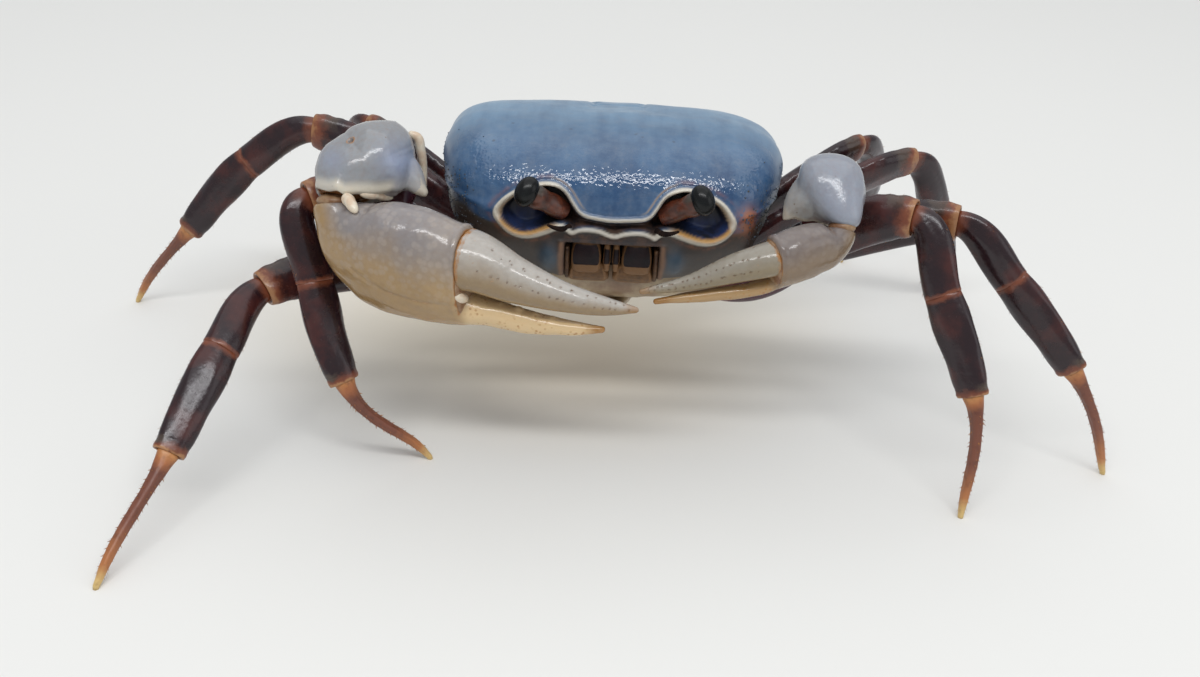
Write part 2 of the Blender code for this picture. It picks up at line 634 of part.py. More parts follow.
CLAWS = {
    "right": Claw(
        hip=(-10.6, -9.2, 14.3),
        hip_way=(-0.9, -0.4, 0.1),
        elbow=(-19.8, -7.4, 25.2),
        elbow_way=(-0.35, 0.0, 0.94),
        wrist=(-24.6, -13.9, 25.1),
        wrist_way=(0.05, -0.5, -0.86),
        merus_rows=(((-10.6, -9.2, 14.3), 1.35, 1.35), ((-13.9, -10.85, 14.9), 1.5, 1.5),
                    ((-17.2, -11.45, 16.9), 1.6, 1.7), ((-19.4, -11.1, 19.8), 1.6, 1.8),
                    ((-20.1, -9.8, 22.9), 1.5, 1.6), ((-19.8, -7.4, 25.2), 1.5, 1.4)),
        carpus_rows=(((-20.3, -8.2, 28.2), 1.9, 3.0), ((-21.8, -9.9, 27.8), 3.5, 4.3),
                     ((-23.6, -12.1, 27.0), 2.8, 3.6)),
        carpus_ends=((1.4, 1.5), (1.8, 2.0)),
        palm_start=(1.8, 1.7),
        palm_rows=(((-24.0, -14.8, 23.4), 2.3, 2.1), ((-22.8, -15.3, 22.2), 3.5, 2.7),
                   ((-20.9, -16.1, 21.6), 4.8, 3.1), ((-16.7, -17.6, 21.35), 5.2, 3.2),
                   ((-12.3, -19.0, 21.1), 4.5, 2.9)),
        finger_way=(0.95, -0.31, 0.05),
        heel_rows=(((-18.5, -17.0, 19.7), 3.2, 2.6), ((-15.0, -18.1, 19.1), 2.5, 2.5),
                   ((-12.9, -18.85, 18.2), 1.45, 2.0), ((-11.3, -19.3, 17.95), 1.1, 1.45)),
        fixed_rows=(((-14.2, -18.4, 18.2), 1.2, 1.5), ((-10.6, -19.5, 18.0), 1.2, 1.3),
                    ((-7.0, -20.2, 17.6), 1.0, 1.0), ((-3.4, -20.7, 17.5), 0.66, 0.7),
                    ((-0.4, -20.7, 17.5), 0.28, 0.28)),
        finger_rows=(((-12.45, -19.0, 22.75), 2.7, 2.75), ((-8.4, -19.9, 21.6), 2.05, 1.95),
                     ((-3.9, -20.8, 20.6), 1.3, 1.2), ((-0.0, -20.7, 19.8), 0.75, 0.75),
                     ((2.4, -20.5, 19.5), 0.26, 0.26)),
        tooth=(-16.9, -11.6, 25.2),
        tooth_base=(-20.4, -9.4, 28.0),
        tooth_radius=2.4,
        sign=-1,
    ),
    "left": Claw(
        hip=(10.6, -9.2, 16.0),
        hip_way=(0.9, -0.4, 0.1),
        elbow=(18.7, -7.2, 25.1),
        elbow_way=(0.25, 0.1, 0.95),
        wrist=(20.3, -13.1, 24.7),
        wrist_way=(-0.15, -0.5, -0.86),
        merus_rows=(((10.6, -9.2, 16.0), 1.3, 1.3), ((13.5, -10.3, 16.9), 1.35, 1.35),
                    ((16.2, -10.7, 18.9), 1.35, 1.4), ((17.9, -10.4, 21.0), 1.4, 1.4),
                    ((18.7, -9.3, 23.1), 1.4, 1.35), ((18.7, -7.2, 25.1), 1.4, 1.3)),
        carpus_rows=(((18.8, -7.7, 27.5), 1.6, 2.2), ((19.2, -9.2, 27.75), 2.2, 3.0),
                     ((19.8, -11.1, 26.5), 2.1, 2.6)),
        carpus_ends=((1.3, 1.3), (1.4, 1.5)),
        palm_start=(1.35, 1.3),
        palm_rows=(((19.7, -13.8, 23.6), 1.55, 1.5), ((18.9, -14.3, 23.35), 1.95, 1.8),
                   ((17.8, -14.9, 23.4), 2.3, 1.95), ((16.0, -16.0, 23.25), 2.45, 2.0),
                   ((14.0, -16.9, 22.8), 2.3, 1.8)),
        finger_way=(-0.9, -0.4, -0.12),
        heel_rows=(((17.0, -15.6, 22.5), 1.7, 1.6), ((15.6, -16.25, 21.6), 1.15, 1.25),
                   ((14.1, -16.75, 20.75), 0.6, 0.8)),
        fixed_rows=(((15.6, -16.2, 21.7), 0.9, 0.9), ((13.6, -16.9, 20.5), 0.6, 0.8),
                    ((10.8, -17.2, 19.85), 0.6, 0.65), ((7.3, -17.4, 19.3), 0.5, 0.55),
                    ((4.0, -17.5, 18.7), 0.26, 0.26)),
        finger_rows=(((14.0, -16.9, 23.3), 1.5, 1.4), ((10.7, -17.3, 22.3), 1.3, 1.1),
                     ((7.1, -17.4, 20.8), 0.75, 0.7), ((2.7, -17.5, 19.6), 0.25, 0.25)),
        tooth=(15.0, -11.0, 24.2),
        tooth_base=(17.7, -9.6, 26.7),
        tooth_radius=1.45,
        sign=1,
    ),
}


def world(point):
    """A point given in millimetres before the stance shift."""
    return Vector(point) * MM + STANCE_SHIFT


def claw_loft(name, rows, first_way, last_way, side, surface, sides=CLAW_SIDES, power=2.3):
    """A loft through rows of centre, half height and half thickness, with set end directions."""
    points = [row[0] for row in rows]
    normals = spine_normals(points)
    if first_way is not None:
        normals[0] = first_way
    if last_way is not None:
        normals[-1] = last_way
    rings = []
    for (point, half_up, half_side), normal in zip(rows, normals):
        rings.append(ring(point, normal, side, half_side * MM, half_up * MM, sides, power))
    return mesh_object(name, *skin_rings(rings), surface)


def make_claw(side_name, arm_surface, palm_surface):
    """The merus, carpus, palm and movable finger of one claw."""
    claw = CLAWS[side_name]
    hip, elbow, wrist = world(claw.hip), world(claw.elbow), world(claw.wrist)
    hip_way = Vector(claw.hip_way).normalized()
    elbow_way = Vector(claw.elbow_way).normalized()
    wrist_way = Vector(claw.wrist_way).normalized()
    finger_way = Vector(claw.finger_way).normalized()
    stem = f"claw_{side_name}"
    half = GAP / 2

    rows = [(world(point), up, thick) for point, up, thick in claw.merus_rows]
    rows[0] = (hip + hip_way * half, *rows[0][1:])
    rows[-1] = (elbow - elbow_way * half, *rows[-1][1:])
    claw_loft(stem + "_merus", rows, hip_way, elbow_way, Vector((0, 1, 0)), arm_surface)

    across = Vector((-claw.sign * (wrist.y - elbow.y), claw.sign * (wrist.x - elbow.x), 0)).normalized()
    rows = [(elbow + elbow_way * half * 1.6, *claw.carpus_ends[0])]
    rows += [(world(point), up, thick) for point, up, thick in claw.carpus_rows]
    rows.append((wrist - wrist_way * half, *claw.carpus_ends[1]))
    carpus = claw_loft("carpus", rows, elbow_way, wrist_way, across, palm_surface)
    base, tip = world(claw.tooth_base), world(claw.tooth)
    rows = []
    for share, size in ((0.0, 1.0), (0.55, 0.62), (0.85, 0.3), (1.0, 0.14)):
        radius = claw.tooth_radius * size
        rows.append((base.lerp(tip, share), radius, radius))
    tooth = claw_loft("tooth", rows, None, None, Vector((0, 0, 1)), palm_surface, sides=8)
    joined(stem + "_carpus", [carpus, tooth], palm_surface)

    last = claw.palm_rows[-1]
    flat = Vector((finger_way.y, -finger_way.x, 0)).normalized()
    rows = [(wrist + wrist_way * half, *claw.palm_start)]
    rows += [(world(point), up, thick) for point, up, thick in claw.palm_rows[:-1]]
    rows.append((world(last[0]) - finger_way * half, last[1], last[2]))
    palm = claw_loft("palm", rows, wrist_way, finger_way, flat, palm_surface)
    rows = [(world(point), up, thick) for point, up, thick in claw.heel_rows]
    heel = claw_loft("heel", rows, None, None, flat, palm_surface, sides=10)
    rows = [(world(point), up, thick) for point, up, thick in claw.fixed_rows]
    fixed = claw_loft("fixed", rows, None, None, flat, palm_surface, sides=10)
    joined(stem + "_palm", [palm, heel, fixed], palm_surface)

    rows = [(world(point), up, thick) for point, up, thick in claw.finger_rows]
    rows[0] = (rows[0][0] + finger_way * half * 1.8, rows[0][1], rows[0][2])
    claw_loft(stem + "_finger", rows, finger_way, None, flat, palm_surface)


def clear_scene():
    """Empties the file."""
    for thing in list(bpy.data.objects):
        bpy.data.objects.remove(thing)


def main():
    """Builds every node."""
    clear_scene()
    blue = material("shell_blue", (0.13, 0.25, 0.42), 0.3)
    under = material("underside", (0.42, 0.33, 0.26), 0.5)
    mouth = material("mouth_brown", (0.1, 0.05, 0.05), 0.4)
    stalk = material("stalk_orange", (0.35, 0.14, 0.07), 0.4)
    cornea = material("cornea_black", (0.01, 0.015, 0.01), 0.1)
    pearl = material("claw_pearl", (0.55, 0.57, 0.6), 0.3)
    dark = material("leg_dark", (0.05, 0.02, 0.03), 0.3)
    amber = material("foot_amber", (0.3, 0.11, 0.05), 0.4)
    make_carapace(blue)
    make_mouthparts(mouth)
    make_eyes(stalk, cornea)
    make_antennae(stalk)
    make_thorax(under)
    make_pleon(under)
    for side_name, _ in SIDES:
        make_claw(side_name, dark, pearl)
        for number in (1, 2, 3, 4):
            make_leg(side_name, number, dark, amber)


main()
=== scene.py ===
"""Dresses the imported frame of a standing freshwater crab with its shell, claws, legs and finishes."""

from __future__ import annotations

import logging
import math
from dataclasses import dataclass, field
from enum import Enum
from functools import reduce
from typing import Callable, Sequence

import bpy
import numpy as np
from mathutils import Matrix, Vector
from mathutils.bvhtree import BVHTree


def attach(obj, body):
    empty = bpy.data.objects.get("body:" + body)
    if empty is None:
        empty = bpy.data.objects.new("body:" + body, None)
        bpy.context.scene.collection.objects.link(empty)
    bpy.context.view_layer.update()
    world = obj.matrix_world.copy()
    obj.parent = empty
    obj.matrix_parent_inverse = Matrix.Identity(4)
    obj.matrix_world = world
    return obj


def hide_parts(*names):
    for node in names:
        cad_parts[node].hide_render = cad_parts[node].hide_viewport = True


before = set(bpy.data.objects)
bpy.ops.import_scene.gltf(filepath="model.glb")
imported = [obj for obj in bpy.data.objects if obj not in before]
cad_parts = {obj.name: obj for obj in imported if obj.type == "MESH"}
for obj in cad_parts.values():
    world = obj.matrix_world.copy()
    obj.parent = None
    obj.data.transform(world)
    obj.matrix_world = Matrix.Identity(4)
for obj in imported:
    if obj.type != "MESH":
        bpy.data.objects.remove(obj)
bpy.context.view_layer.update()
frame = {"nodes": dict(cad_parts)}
log = logging.getLogger("crab")

Array = np.ndarray
MM = 0.001
STANCE = np.array((2.05, 4.18, 0.0))
BODY_CENTRE = np.array((0.0, -1.5, 22.0))
BODY_PITCH = math.radians(-10.0)
SEED = 7
PIXELS_TO_MM = 11.0


class Side(Enum):
    """The animal's own left or right, with the sign of x on that side."""

    LEFT = ("left", 1.0)
    RIGHT = ("right", -1.0)

    @property
    def word(self) -> str:
        """The side's name inside a node's name."""
        return self.value[0]

    @property
    def sign(self) -> float:
        """The sign of x on this side."""
        return self.value[1]


class Part(Enum):
    """The four free segments of a walking leg."""

    MERUS = "merus"
    CARPUS = "carpus"
    PROPODUS = "propodus"
    DACTYLUS = "dactylus"


# Small maths


def unit(v: Sequence[float]) -> Array:
    """The direction of a vector."""
    a = np.asarray(v, float)
    return a / np.linalg.norm(a)


def units(rows: Array) -> Array:
    """The direction of each row."""
    return rows / np.linalg.norm(rows, axis=1)[:, None]


def step(low: float, high: float, x: Array) -> Array:
    """A smooth step from 0 at low to 1 at high."""
    t = np.clip((x - low) / (high - low), 0.0, 1.0)
    return t * t * (3 - 2 * t)


def bell(x: Array, width: float) -> Array:
    """A smooth bump of height 1 round zero."""
    return np.exp(-((x / width) ** 2))


def turn_body(points: Array) -> Array:
    """Turns body-frame directions to the stance's pitch."""
    c, s = math.cos(BODY_PITCH), math.sin(BODY_PITCH)
    out = np.array(points, float)
    out[..., 1] = points[..., 1] * c - points[..., 2] * s
    out[..., 2] = points[..., 1] * s + points[..., 2] * c
    return out


def place_body(points: Array) -> Array:
    """Body-frame points in millimetres, put where the pitched body stands."""
    return turn_body(points) + BODY_CENTRE + STANCE


def ripple(points: Array, seed: int, size: float) -> Array:
    """Smooth random values near -1 to 1 over space, as a sum of fixed waves.

    Args:
        points: positions, any shape ending in 3.
        seed: which pattern.
        size: the usual distance between bumps, in the points' unit.

    Returns:
        One value for each point.
    """
    rng = np.random.default_rng(seed)
    total = np.zeros(points.shape[:-1])
    for _ in range(10):
        wave = rng.normal(size=3)
        wave *= 2 * math.pi / (size * np.linalg.norm(wave)) * rng.uniform(0.6, 1.5)
        total += np.sin(points @ wave + rng.uniform(0, 2 * math.pi))
    return total / 4.5


def with_ends(rows: Array, ends: Sequence[Array | None]) -> Array:
    """Rows with the first and the last replaced, where an end is given."""
    for index, end in zip((0, -1), ends):
        if end is not None:
            rows[index] = end
    return rows


def hermite(s: Array | float, start: Array, leave: Array, end: Array, arrive: Array) -> Array:
    """The cubic at share s that goes from start to end with these slopes."""
    return (
        start * (2 * s**3 - 3 * s**2 + 1) + leave * (s**3 - 2 * s**2 + s)
        + end * (3 * s**2 - 2 * s**3) + arrive * (s**3 - s**2)
    )


def curve_through(knots: Array, values: Array, at: Array, ends: Sequence[Array | None] = (None, None)) -> Array:
    """A smooth curve through values given at knots.

    Args:
        knots: rising positions.
        values: one row for each knot.
        at: where to read the curve.
        ends: slopes at the first and last knot, or None for the natural ones.

    Returns:
        One row for each position in at.
    """
    slopes = with_ends(np.gradient(values, knots, axis=0), ends)
    index = np.clip(np.searchsorted(knots, at, side="right") - 1, 0, len(knots) - 2)
    width = (knots[index + 1] - knots[index])[:, None]
    share = (at - knots[index])[:, None] / width
    return hermite(share, values[index], slopes[index] * width, values[index + 1], slopes[index + 1] * width)


# Meshes


@dataclass
class Surface:
    """Points in millimetres, faces, and one value per point for each named attribute."""

    points: Array
    faces: list[list[int]]
    values: dict[str, Array] = field(default_factory=dict)

    def joined(self, other: Surface) -> Surface:
        """This surface and another as one; a value that one of them lacks is 0 there."""
        base = len(self.points)
        values = {}
        for name in {**self.values, **other.values}:
            mine = self.values.get(name, np.zeros(base))
            theirs = other.values.get(name, np.zeros(len(other.points)))
            values[name] = np.concatenate((mine, theirs))
        faces = self.faces + [[i + base for i in face] for face in other.faces]
        return Surface(np.vstack((self.points, other.points)), faces, values)

    def normals(self) -> Array:
        """The direction of the surface at each point, from its faces."""
        out = np.zeros_like(self.points)
        for count in (3, 4):
            faces = np.array([face for face in self.faces if len(face) == count])
            if len(faces) == 0:
                continue
            corners = self.points[faces]
            flat = np.cross(corners[:, 2] - corners[:, 0], corners[:, -1] - corners[:, 1])
            if count == 3:
                flat = np.cross(corners[:, 1] - corners[:, 0], corners[:, 2] - corners[:, 0])
            for index in range(count):
                np.add.at(out, faces[:, index], flat)
        return out / np.maximum(np.linalg.norm(out, axis=1), 1e-12)[:, None]

    def inside_out(self) -> bool:
        """Whether the faces of the closed surface point inwards, by the sign of the volume inside."""
        halves = [half for f in self.faces for half in ((f[0], f[1], f[2]), (f[0], f[-2], f[-1]))[: len(f) - 2]]
        a, b, c = self.points[np.array(halves)].transpose(1, 0, 2)
        return float(np.einsum("ij,ij->i", a, np.cross(b, c)).sum()) < 0

    def push(self, amount: Array) -> None:
        """Moves each point outwards along the surface's own direction."""
        sign = -1.0 if self.inside_out() else 1.0
        self.points = self.points + self.normals() * (sign * amount)[:, None]

    def mesh(self, name: str) -> bpy.types.Mesh:
        """A Blender mesh in metres, its faces pointing outwards."""
        made = bpy.data.meshes.new(name)
        made.from_pydata((self.points * MM).tolist(), [], self.faces)
        if self.inside_out():
            made.flip_normals()
        for key, value in self.values.items():
            layer = made.attributes.new(key, "FLOAT", "POINT")
            layer.data.foreach_set("value", np.ascontiguousarray(value, dtype=np.float32))
        made.shade_smooth()
        made.update()
        return made


def closed_faces(rows: int, sides: int) -> list[list[int]]:
    """Quads between closed rings of points, and fans to the two poles that follow the rings."""
    faces = []
    following = [(i, (i + 1) % sides) for i in range(sides)]
    for low in range(0, (rows - 1) * sides, sides):
        faces += [[low + i, low + j, low + sides + j, low + sides + i] for i, j in following]
    pole, top = rows * sides, (rows - 1) * sides
    for i, j in following:
        faces += [[pole, j, i], [pole + 1, top + i, top + j]]
    return faces


@dataclass(frozen=True)
class Cap:
    """How a loft ends: rings of (distance outwards, share of the end ring's size)."""

    rings: tuple[tuple[float, float], ...]


FLAT = Cap(((0.02, 0.96), (0.03, 0.8), (0.03, 0.4)))
SOCKET = Cap(((0.06, 0.97), (0.04, 0.88), (-0.15, 0.8), (-0.4, 0.6), (-0.45, 0.3)))
KNUCKLE = Cap(((0.12, 0.94), (0.3, 0.82), (0.45, 0.6), (0.52, 0.3)))
POINT = Cap(((0.08, 0.8), (0.16, 0.45)))
FOOT = Cap(((0.0, 0.6), (0.0, 0.3)))
THINNEST = 0.12


@dataclass
class Loft:
    """A closed form swept through rows of centre, half height and half thickness.

    Args:
        rows: centre, half height, half thickness, in millimetres.
        side: direction of the thickness.
        ways: directions of the two end faces, or None for the natural ones.
        caps: how it starts and ends.
        stations: rings along it.
        sides: points round each ring.
        power: 2 is an ellipse and more is boxier.
        sculpt: share of extra radius from the share along and the angle round.
    """

    rows: Sequence[tuple[Sequence[float], float, float]]
    side: Sequence[float]
    ways: tuple[Sequence[float] | None, Sequence[float] | None] = (None, None)
    caps: tuple[Cap, Cap] = (FLAT, FLAT)
    stations: int = 40
    sides: int = 32
    power: float = 2.2
    sculpt: Callable[[Array, Array], Array | float] = lambda along, angle: 0.0

    def frames(self, count: int) -> tuple[Array, Array, Array, Array, Array, Array]:
        """Centres, directions, across and up vectors, half heights and half thicknesses."""
        centres = np.array([row[0] for row in self.rows], float)
        sizes = np.array([row[1:] for row in self.rows], float)
        knots = np.concatenate(([0.0], np.cumsum(np.linalg.norm(np.diff(centres, axis=0), axis=1))))
        ends = [None if way is None else unit(way) for way in self.ways]
        at = np.linspace(0.0, knots[-1], count)
        line = curve_through(knots, centres, at, ends)
        ways = units(with_ends(np.gradient(line, at, axis=0), ends))
        size = np.maximum(curve_through(knots, sizes, at), THINNEST)
        side = unit(self.side)
        across = units(side - ways * (ways @ side)[:, None])
        return line, ways, across, np.cross(ways, across), size[:, 0], size[:, 1]

    def profile(self, angles: Array) -> tuple[Array, Array]:
        """How far across and up the section's edge lies at these angles, as shares of its half sizes."""
        waves = np.cos(angles), np.sin(angles)
        return tuple(np.sign(wave) * np.abs(wave) ** (2 / self.power) for wave in waves)

    @staticmethod
    def rise(up: Array) -> float:
        """The sign that makes an up vector of the form's middle point upwards."""
        return -1.0 if up[len(up) // 2, 2] < -0.01 else 1.0

    def surface(self) -> Surface:
        """The form's points, faces and values."""
        line, ways, across, up, half_up, half_side = self.frames(self.stations)
        angle = 2 * math.pi * (np.arange(self.sides) + 0.5) / self.sides
        u, v = self.profile(angle)
        along = np.linspace(0.0, 1.0, self.stations)
        grow = 1 + self.sculpt(along[:, None], angle[None, :])
        body = (
            line[:, None, :]
            + across[:, None, :] * (half_side[:, None] * u * grow)[..., None]
            + up[:, None, :] * (half_up[:, None] * v * grow)[..., None]
        )
        rings, share, inner = list(body), list(along), [0.0] * self.stations
        for cap, index, sign in ((self.caps[0], 0, -1.0), (self.caps[1], -1, 1.0)):
            centre, edge = line[index], body[index]
            added = [centre + (edge - centre) * size + ways[index] * (sign * out) for out, size in cap.rings]
            marks = [float(out < 0) for out, _ in cap.rings]
            if sign < 0:
                rings, share, inner = added[::-1] + rings, [0.0] * len(added) + share, marks[::-1] + inner
            else:
                rings, share, inner = rings + added, share + [1.0] * len(added), inner + marks
        points = np.vstack((*rings, rings[0].mean(axis=0), rings[-1].mean(axis=0)))
        values = {
            "along": np.append(np.repeat(share, self.sides), (0.0, 1.0)),
            "above": np.append(np.tile(np.sin(angle) * self.rise(up), len(rings)), (0.0, 0.0)),
            "inner": np.append(np.repeat(inner, self.sides), (0.0, inner[-1])),
        }
        return Surface(points, closed_faces(len(rings), self.sides), values)

    def spots(self, shares: Array, angles: Array) -> tuple[Array, Array, Array]:
        """Points on the form, with the directions outwards and along.

        Args:
            shares: how far along each point lies.
            angles: where round the ring it lies, with the upper edge at a quarter turn.

        Returns:
            Points, outward directions and directions along.
        """
        index = np.clip(np.round(shares * 100).astype(int), 0, 100)
        line, ways, across, up, half_up, half_side = (rows[index] for rows in self.frames(101))
        u, v = self.profile(angles)
        grow = 1 + self.sculpt(shares, angles)
        out = across * (half_side * u * grow)[:, None] + up * (half_up * v * grow)[:, None]
        aims = across * (np.cos(angles) / half_side)[:, None] + up * (np.sin(angles) / half_up)[:, None]
        return line + out, units(aims), ways

    def read(self, points: Array, count: int = 80) -> dict[str, Array]:
        """Along and above values for points of a remeshed form near this one."""
        line, _, _, up, half_up, _ = self.frames(count)
        away = points[:, None, :] - line[None, :, :]
        near = np.argmin((away**2).sum(axis=2), axis=1)
        picked = away[np.arange(len(points)), near]
        above = self.rise(up) * (picked * up[near]).sum(axis=1) / half_up[near]
        return {"along": near / (count - 1.0), "above": np.clip(above, -1.2, 1.2)}


def ball(
    centre: Sequence[float], half: Sequence[float], turn: Array | None = None, rows: int = 14, sides: int = 20
) -> Surface:
    """A closed ellipsoid.

    Args:
        centre: its middle in millimetres.
        half: its three half sizes.
        turn: a 3 by 3 matrix that turns it.
        rows: rings from pole to pole.
        sides: points round each ring.

    Returns:
        The surface.
    """
    tilt = math.pi * np.arange(1, rows)[:, None] / rows
    angle = 2 * math.pi * np.arange(sides)[None, :] / sides
    grid = np.stack((np.sin(tilt) * np.cos(angle), np.sin(tilt) * np.sin(angle), np.cos(tilt) + 0 * angle), axis=-1)
    points = np.vstack((grid.reshape(-1, 3), (0, 0, 1), (0, 0, -1))) * np.asarray(half, float)
    if turn is not None:
        points = points @ turn.T
    return Surface(points + np.asarray(centre, float), closed_faces(rows - 1, sides))


# Shaders


class Sock:
    """A shader value whose sums, differences and products add Math nodes."""

    def __init__(self, shade: Shade, socket: bpy.types.NodeSocket) -> None:
        """Wraps an output socket of a material."""
        self.shade = shade
        self.socket = socket

    def maths(self, operation: str, *others: Sock | float, clamp: bool = False) -> Sock:
        """One Math node on this value and others."""
        inputs = dict(enumerate((self, *others)))
        return self.shade.out("ShaderNodeMath", 0, inputs, operation=operation, use_clamp=clamp)

    def __add__(self, other: Sock | float) -> Sock:
        """This plus other."""
        return self.maths("ADD", other)

    __radd__ = __add__

    def __mul__(self, other: Sock | float) -> Sock:
        """This times other."""
        return self.maths("MULTIPLY", other)

    __rmul__ = __mul__

    def __sub__(self, other: Sock | float) -> Sock:
        """This less other."""
        return self.maths("SUBTRACT", other)

    def __rsub__(self, other: float) -> Sock:
        """Other less this."""
        return self * -1.0 + other

    def clamp(self) -> Sock:
        """This held between 0 and 1."""
        return self.maths("ADD", 0.0, clamp=True)

    def step(self, low: float, high: float) -> Sock:
        """0 at low, 1 at high and smooth between; low may be the larger."""
        inputs = {"Value": self, "From Min": low, "From Max": high}
        return self.shade.out("ShaderNodeMapRange", "Result", inputs, interpolation_type="SMOOTHSTEP")


Feed = Sock | float | tuple | str | bpy.types.NodeSocket | bpy.types.Material


class Graph:
    """A node tree being built."""

    def __init__(self, tree: bpy.types.NodeTree) -> None:
        """Works on this tree."""
        self.tree = tree

    def feed(self, socket: bpy.types.NodeSocket, value: Feed) -> None:
        """Links a value to a socket, or sets it."""
        if isinstance(value, Sock):
            self.tree.links.new(value.socket, socket)
        elif isinstance(value, bpy.types.NodeSocket):
            self.tree.links.new(value, socket)
        elif isinstance(value, tuple) and socket.type == "RGBA":
            socket.default_value = (*value[:3], 1.0)
        else:
            socket.default_value = value

    def node(self, kind: str, settings: dict[str, object], inputs: dict[str | int, Feed]) -> bpy.types.Node:
        """Adds a node.

        Args:
            kind: the node's type.
            settings: its properties, set first; "stops" sets a ramp's.
            inputs: values or links of its sockets, by name or number.

        Returns:
            The node.
        """
        made = self.tree.nodes.new(kind)
        for key, value in settings.items():
            if key == "stops":
                ramp = made.color_ramp
                while len(ramp.elements) < len(value):
                    ramp.elements.new(0.5)
                for element, (place, colour) in zip(ramp.elements, value):
                    element.position = place
                    element.color = (*colour, 1.0)
            else:
                setattr(made, key, value)
        for key, value in inputs.items():
            self.feed(made.inputs[key], value)
        return made


class Shade(Graph):
    """A Principled material being built."""

    def __init__(self, name: str) -> None:
        """Starts the material."""
        self.material = bpy.data.materials.new(name)
        self.material.use_nodes = True
        super().__init__(self.material.node_tree)
        self.principled = self.tree.nodes["Principled BSDF"]

    def out(self, kind: str, output: str | int, inputs: dict[str | int, Feed], **settings: object) -> Sock:
        """One output of a new node."""
        return Sock(self, self.node(kind, settings, inputs).outputs[output])

    def place(self) -> Sock:
        """Object coordinates, in metres."""
        return self.out("ShaderNodeTexCoord", "Object", {})

    def value(self, name: str) -> Sock:
        """The piece's own attribute of this name."""
        return self.out("ShaderNodeAttribute", "Fac", {}, attribute_name=name)

    def scaled(self, x: float, y: float, z: float) -> Sock:
        """Object coordinates stretched by a factor for each axis."""
        return self.out("ShaderNodeVectorMath", "Vector", {0: self.place(), 1: (x, y, z)}, operation="MULTIPLY")

    def noise(self, size: float, detail: float = 3.0, rough: float = 0.55, where: Sock | None = None) -> Sock:
        """Noise whose bumps are about size millimetres apart."""
        inputs = {"Vector": where or self.place(), "Scale": 1000.0 / size, "Detail": detail, "Roughness": rough}
        return self.out("ShaderNodeTexNoise", "Fac", inputs)

    def cells(self, size: float) -> Sock:
        """Distance inside cells about size millimetres across."""
        return self.out("ShaderNodeTexVoronoi", "Distance", {"Vector": self.place(), "Scale": 1000.0 / size})

    def sway(self, size: float, reach: float, detail: float = 4.0, rough: float = 0.55) -> Sock:
        """Noise round zero, reach wide from its least to its most."""
        return (self.noise(size, detail, rough) - 0.5) * reach

    def mix(self, share: Feed, low: Feed, high: Feed) -> Sock:
        """A colour between two others."""
        return self.out("ShaderNodeMix", 2, {0: share, 6: low, 7: high}, data_type="RGBA", clamp_factor=True)

    def layers(self, colour: Feed, *coats: tuple[Feed, Feed]) -> Sock:
        """A colour under coats, each given by its share and its own colour."""
        for share, tint in coats:
            colour = self.mix(share, colour, tint)
        return colour

    def ramp(self, value: Sock, stops: Sequence[tuple[float, tuple[float, float, float]]]) -> Sock:
        """A colour read from stops."""
        return self.out("ShaderNodeValToRGB", "Color", {"Fac": value}, stops=stops)

    def grain(self, *bumps: tuple[Sock, float, float]) -> Sock:
        """A normal from bumps over each other: each one's height, depth in millimetres for 1, and strength."""
        under: dict[str | int, Feed] = {}
        for height, depth, strength in bumps:
            inputs = {"Height": height, "Distance": depth * MM, "Strength": strength, **under}
            under = {"Normal": self.out("ShaderNodeBump", "Normal", inputs)}
        return under["Normal"]

    def finish(self, colour: Feed, rough: Feed, **inputs: Feed) -> bpy.types.Material:
        """Feeds the Principled shader, with spaces for underscores, and returns the material."""
        for key, value in {"Base_Color": colour, "Roughness": rough, **inputs}.items():
            self.feed(self.principled.inputs[key.replace("_", " ")], value)
        return self.material


def srgb(red: int, green: int, blue: int) -> tuple[float, float, float]:
    """A colour from its 0 to 255 screen values."""
    out = []
    for value in (red, green, blue):
        v = value / 255
        out.append(v / 12.92 if v <= 0.04045 else ((v + 0.055) / 1.055) ** 2.4)
    return tuple(out)


